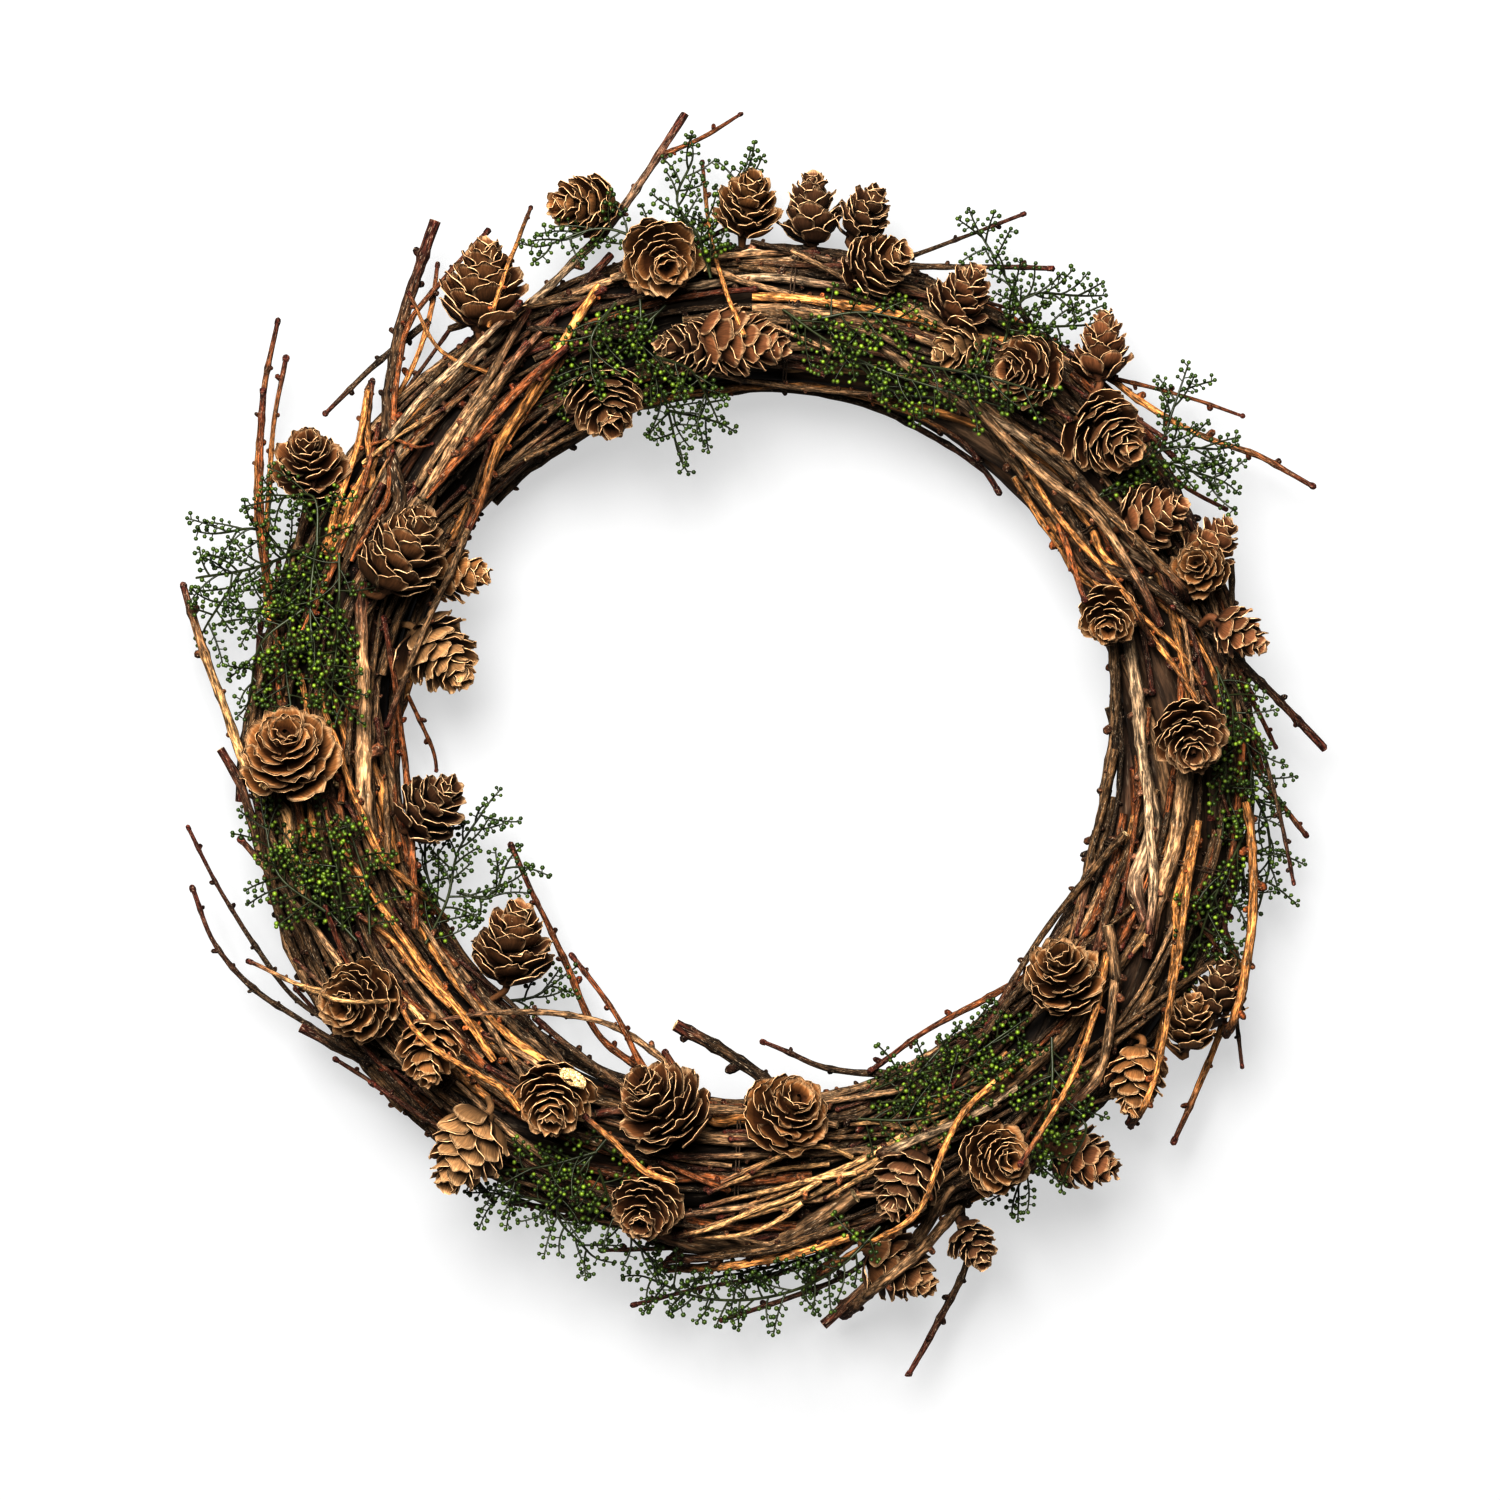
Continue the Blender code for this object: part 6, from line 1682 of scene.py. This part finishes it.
def bark_material(name, contrast, scale, fleck):
    """Bark: streaks along the grain, small pale flecks and dark cracks, over the tint of each point."""
    look = Finish(name, 0.78, 0.14)
    tint, grain = look.attribute("tint", "Color"), look.attribute("grain", "Vector")
    streaks = look.noise(grain, scale, 5.0, 0.65)
    shade = look.ramp(streaks, ((0.36, 1 - contrast), (0.49, 0.7), (0.62, 1 + 1.5 * contrast)))
    colour = look.mixed("MULTIPLY", 1.0, tint, shade)
    flecks = look.noise(grain, scale * 2.7, 3.0, 0.7)
    colour = look.mixed("MIX", look.ramp(flecks, ((0.58, 0.0), (0.70, fleck))), colour, FLECK_TINT)
    cracks = look.ramp(flecks, ((0.28, 0.25), (0.40, 1.0)))
    return look.done(look.mixed("MULTIPLY", 0.8, colour, cracks), streaks, 0.6, 0.0006)


def scale_material():
    """Cone scales: fine fibres along each scale, dark at the root from painted shade and paler on the thin rim.
    """
    look = Finish("cone scales", 0.70, 0.16)
    tint, grain = look.attribute("tint", "Color"), look.attribute("grain", "Vector")
    edge = look.attribute("edge", "Fac")
    fibres = look.noise(grain, 5.5, 4.0, 0.6)
    shade = look.ramp(fibres, ((0.30, 0.62), (0.52, 1.0), (0.70, 1.35)))
    colour = look.mixed("MULTIPLY", 1.0, tint, shade)
    rim = look.ramp(edge, ((0.55, 0.0), (1.0, RIM_SHARE)))
    patches = look.ramp(fibres, ((0.40, 0.25), (0.60, 1.0)))
    rim = look.mixed("MULTIPLY", 1.0, rim, patches)
    return look.done(look.mixed("MIX", rim, colour, RIM_TINT), fibres, 0.35, 0.0004)


def green_material():
    """Greenery: berries and stems with a faint sheen, mottled lighter and darker."""
    look = Finish("greenery", 0.42, 0.35)
    tint, grain = look.attribute("tint", "Color"), look.attribute("grain", "Vector")
    mottle = look.noise(grain, 1.2, 2.0, 0.5)
    shade = look.ramp(mottle, ((0.35, 0.65), (0.65, 1.3)))
    return look.done(look.mixed("MULTIPLY", 1.0, tint, shade), mottle, 0.15, 0.0002)


def build_stage():
    """A pale floor, soft studio light from the upper left, and a camera that looks straight down."""
    floor_mesh = bpy.data.meshes.new("floor")
    corners = [(x * FLOOR_HALF, y * FLOOR_HALF, 0) for x, y in ((-1, -1), (1, -1), (1, 1), (-1, 1))]
    floor_mesh.from_pydata(corners, [], [(0, 1, 2, 3)])
    floor = bpy.data.objects.new("floor", floor_mesh)
    look = Finish("floor", 0.9, 0.1)
    look.shader.inputs["Base Color"].default_value = (*FLOOR_TINT, 1)
    look.shader.inputs["Emission Color"].default_value = (1, 1, 1, 1)
    look.shader.inputs["Emission Strength"].default_value = FLOOR_GLOW
    floor_mesh.materials.append(look.material)
    floor.visible_diffuse = False
    bpy.context.scene.collection.objects.link(floor)
    for name, place, size, power in LIGHTS:
        lamp = bpy.data.lights.new(name, "AREA")
        lamp.size = size
        lamp.energy = power
        light = bpy.data.objects.new(name, lamp)
        light.location = place
        light.rotation_euler = (-Vector(place)).to_track_quat("-Z", "Y").to_euler()
        bpy.context.scene.collection.objects.link(light)
    world = bpy.data.worlds.new("studio")
    world.use_nodes = True
    world.node_tree.nodes["Background"].inputs["Color"].default_value = (1, 1, 1, 1)
    world.node_tree.nodes["Background"].inputs["Strength"].default_value = WORLD_STRENGTH
    bpy.context.scene.world = world
    bpy.context.scene.view_settings.view_transform = "Standard"
    bpy.context.scene.view_settings.look = "None"
    bpy.context.scene.view_settings.gamma = VIEW_GAMMA
    lens = bpy.data.cameras.new("camera")
    lens.sensor_width = SENSOR
    lens.lens = SENSOR * MM * (CAMERA_HEIGHT - VIEW_PLANE) / FRAME_WIDTH / MM
    lens.clip_end = 20
    camera = bpy.data.objects.new("camera", lens)
    camera.location = (ORIGIN[0] + VIEW_MIDDLE[0], ORIGIN[1] + VIEW_MIDDLE[1], CAMERA_HEIGHT)
    bpy.context.scene.collection.objects.link(camera)
    bpy.context.scene.camera = camera


def over_twigs(cover, fine):
    """The sticks that lie over twigs and cones, by bundle."""
    found = {name: [] for name in BUNDLES}
    for name, group in OVER_STICKS.items():
        for kind, width, bends in group:
            route = lies_over(cover, fine, bends, width / 2 * MM)
            found[name].append((route, width / 2 * MM * np.linspace(1, 0.75, len(route)), kind))
    return found


def build_bundle(name, group, shoots, fills, sticks, overs, cover, draws):
    """The twigs of a bundle, from the laid ones to those on top, with its chips and the wires round it."""
    shape = Shape()
    for one, kind in zip(group, TWIG_BARKS[name]):
        twig(shape, one.route, one.thick, kind, draws, sides=9)
    for (owner, (route, thick)), kind in zip(shoots, SHOOT_BARKS):
        if owner == name and len(route) > 1:
            twig(shape, route, thick, kind, draws, sides=7)
    for points, thick, kind in fills:
        step = 2 if len(points) > 8 else 1
        twig(shape, points[::step], thick[::step], kind, draws, sides=7, fine=0.0026, knobs=0.7)
    for points, thick, kind in sticks:
        twig(shape, points, thick, kind, draws, sides=7, fine=0.0024, knobs=0.8)
    # Painted shade on what lies deep between the twigs, before the sticks on top are added
    shape.paint_deep_shade(True)
    for points, thick, kind in overs:
        twig(shape, points, thick, kind, draws, sides=8, knobs=0.9)
    for kind, width, bends in FREE_STICKS.get(name, ()):
        thick = width / 2 * MM * np.linspace(1, 0.8, len(bends))
        twig(shape, np.array(bends, float) * MM, thick, kind, draws, sides=9, knobs=0.6)
    for place in CHIPS.get(name, ()):
        chip(shape, cover, place, draws)
    bind_wire(shape, BUNDLES[name][0], draws)
    return shape


def main():
    """Lays everything out, then builds the pieces in a fixed order, because they share one row of draws."""
    draws = np.random.default_rng(SEED)
    laid, twigs, cones, shoots = lay_all()
    carrier = surface_of([obj for name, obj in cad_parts.items() if name.startswith(("hoop", "twig"))])
    cover = surface_of([obj for name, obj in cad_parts.items() if not name.startswith("spray")])
    bark = bark_material("twig bark", 0.86, 2.2, 0.60)
    hoop = build_hoop(draws)
    # Painted shade on the hoop where it lies deep under the twigs, apart from its bare part
    hoop.paint_deep_shade(False)
    hoop.finish("hoop_stems", bark_material("hoop bark", 0.7, 1.8, 0.10), "hoop_bark", ["hoop"])
    fine = Laid()
    fills = fill_twigs(fine, draws)
    sticks = straight_sticks(fine, draws)
    overs = over_twigs(cover, fine)
    for found in (fills, sticks, overs):
        for group in found.values():
            for k, (points, thick, _) in enumerate(group):
                laid.add(points[::2], thick[::2], ("fine", k))
    for name, group in twigs.items():
        shape = build_bundle(name, group, shoots, fills[name], sticks[name], overs[name], cover, draws)
        shape.finish(name + "_twigs", bark, "twig_bark", [name])
    scales = scale_material()
    for node in CONES:
        shape = Shape()
        for cone, tone in zip([cone for cone in cones if cone.node == node], CONE_TONES[node]):
            build_cone(shape, cone, tone, carrier, draws)
        shape.finish(node + "_scales", scales, "cone_scale", [node])
    green = green_material()
    kept_clear = [(cone.middle[:2], cone.radius * CLEAR_SHARE) for cone in cones if cone.node not in GREEN_OVER]
    for node in SPRAYS:
        build_spray(node, laid, kept_clear, draws).finish(node + "_greens", green, "spray_green", [node])
    build_stage()


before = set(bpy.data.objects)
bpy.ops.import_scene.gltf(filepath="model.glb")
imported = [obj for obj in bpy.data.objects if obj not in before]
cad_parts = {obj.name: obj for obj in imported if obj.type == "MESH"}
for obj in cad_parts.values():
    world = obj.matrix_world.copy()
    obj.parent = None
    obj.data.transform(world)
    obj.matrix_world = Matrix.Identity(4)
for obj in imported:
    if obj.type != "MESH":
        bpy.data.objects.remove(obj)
CAD_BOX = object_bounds()
BOX_LOW, BOX_HIGH = (np.array(corner) for corner in CAD_BOX)
HOOP_LOW, HOOP_HIGH = (np.array(corner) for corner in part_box("hoop"))
ORIGIN = (HOOP_LOW + HOOP_HIGH) / 2 * (1, 1, 0)
main()
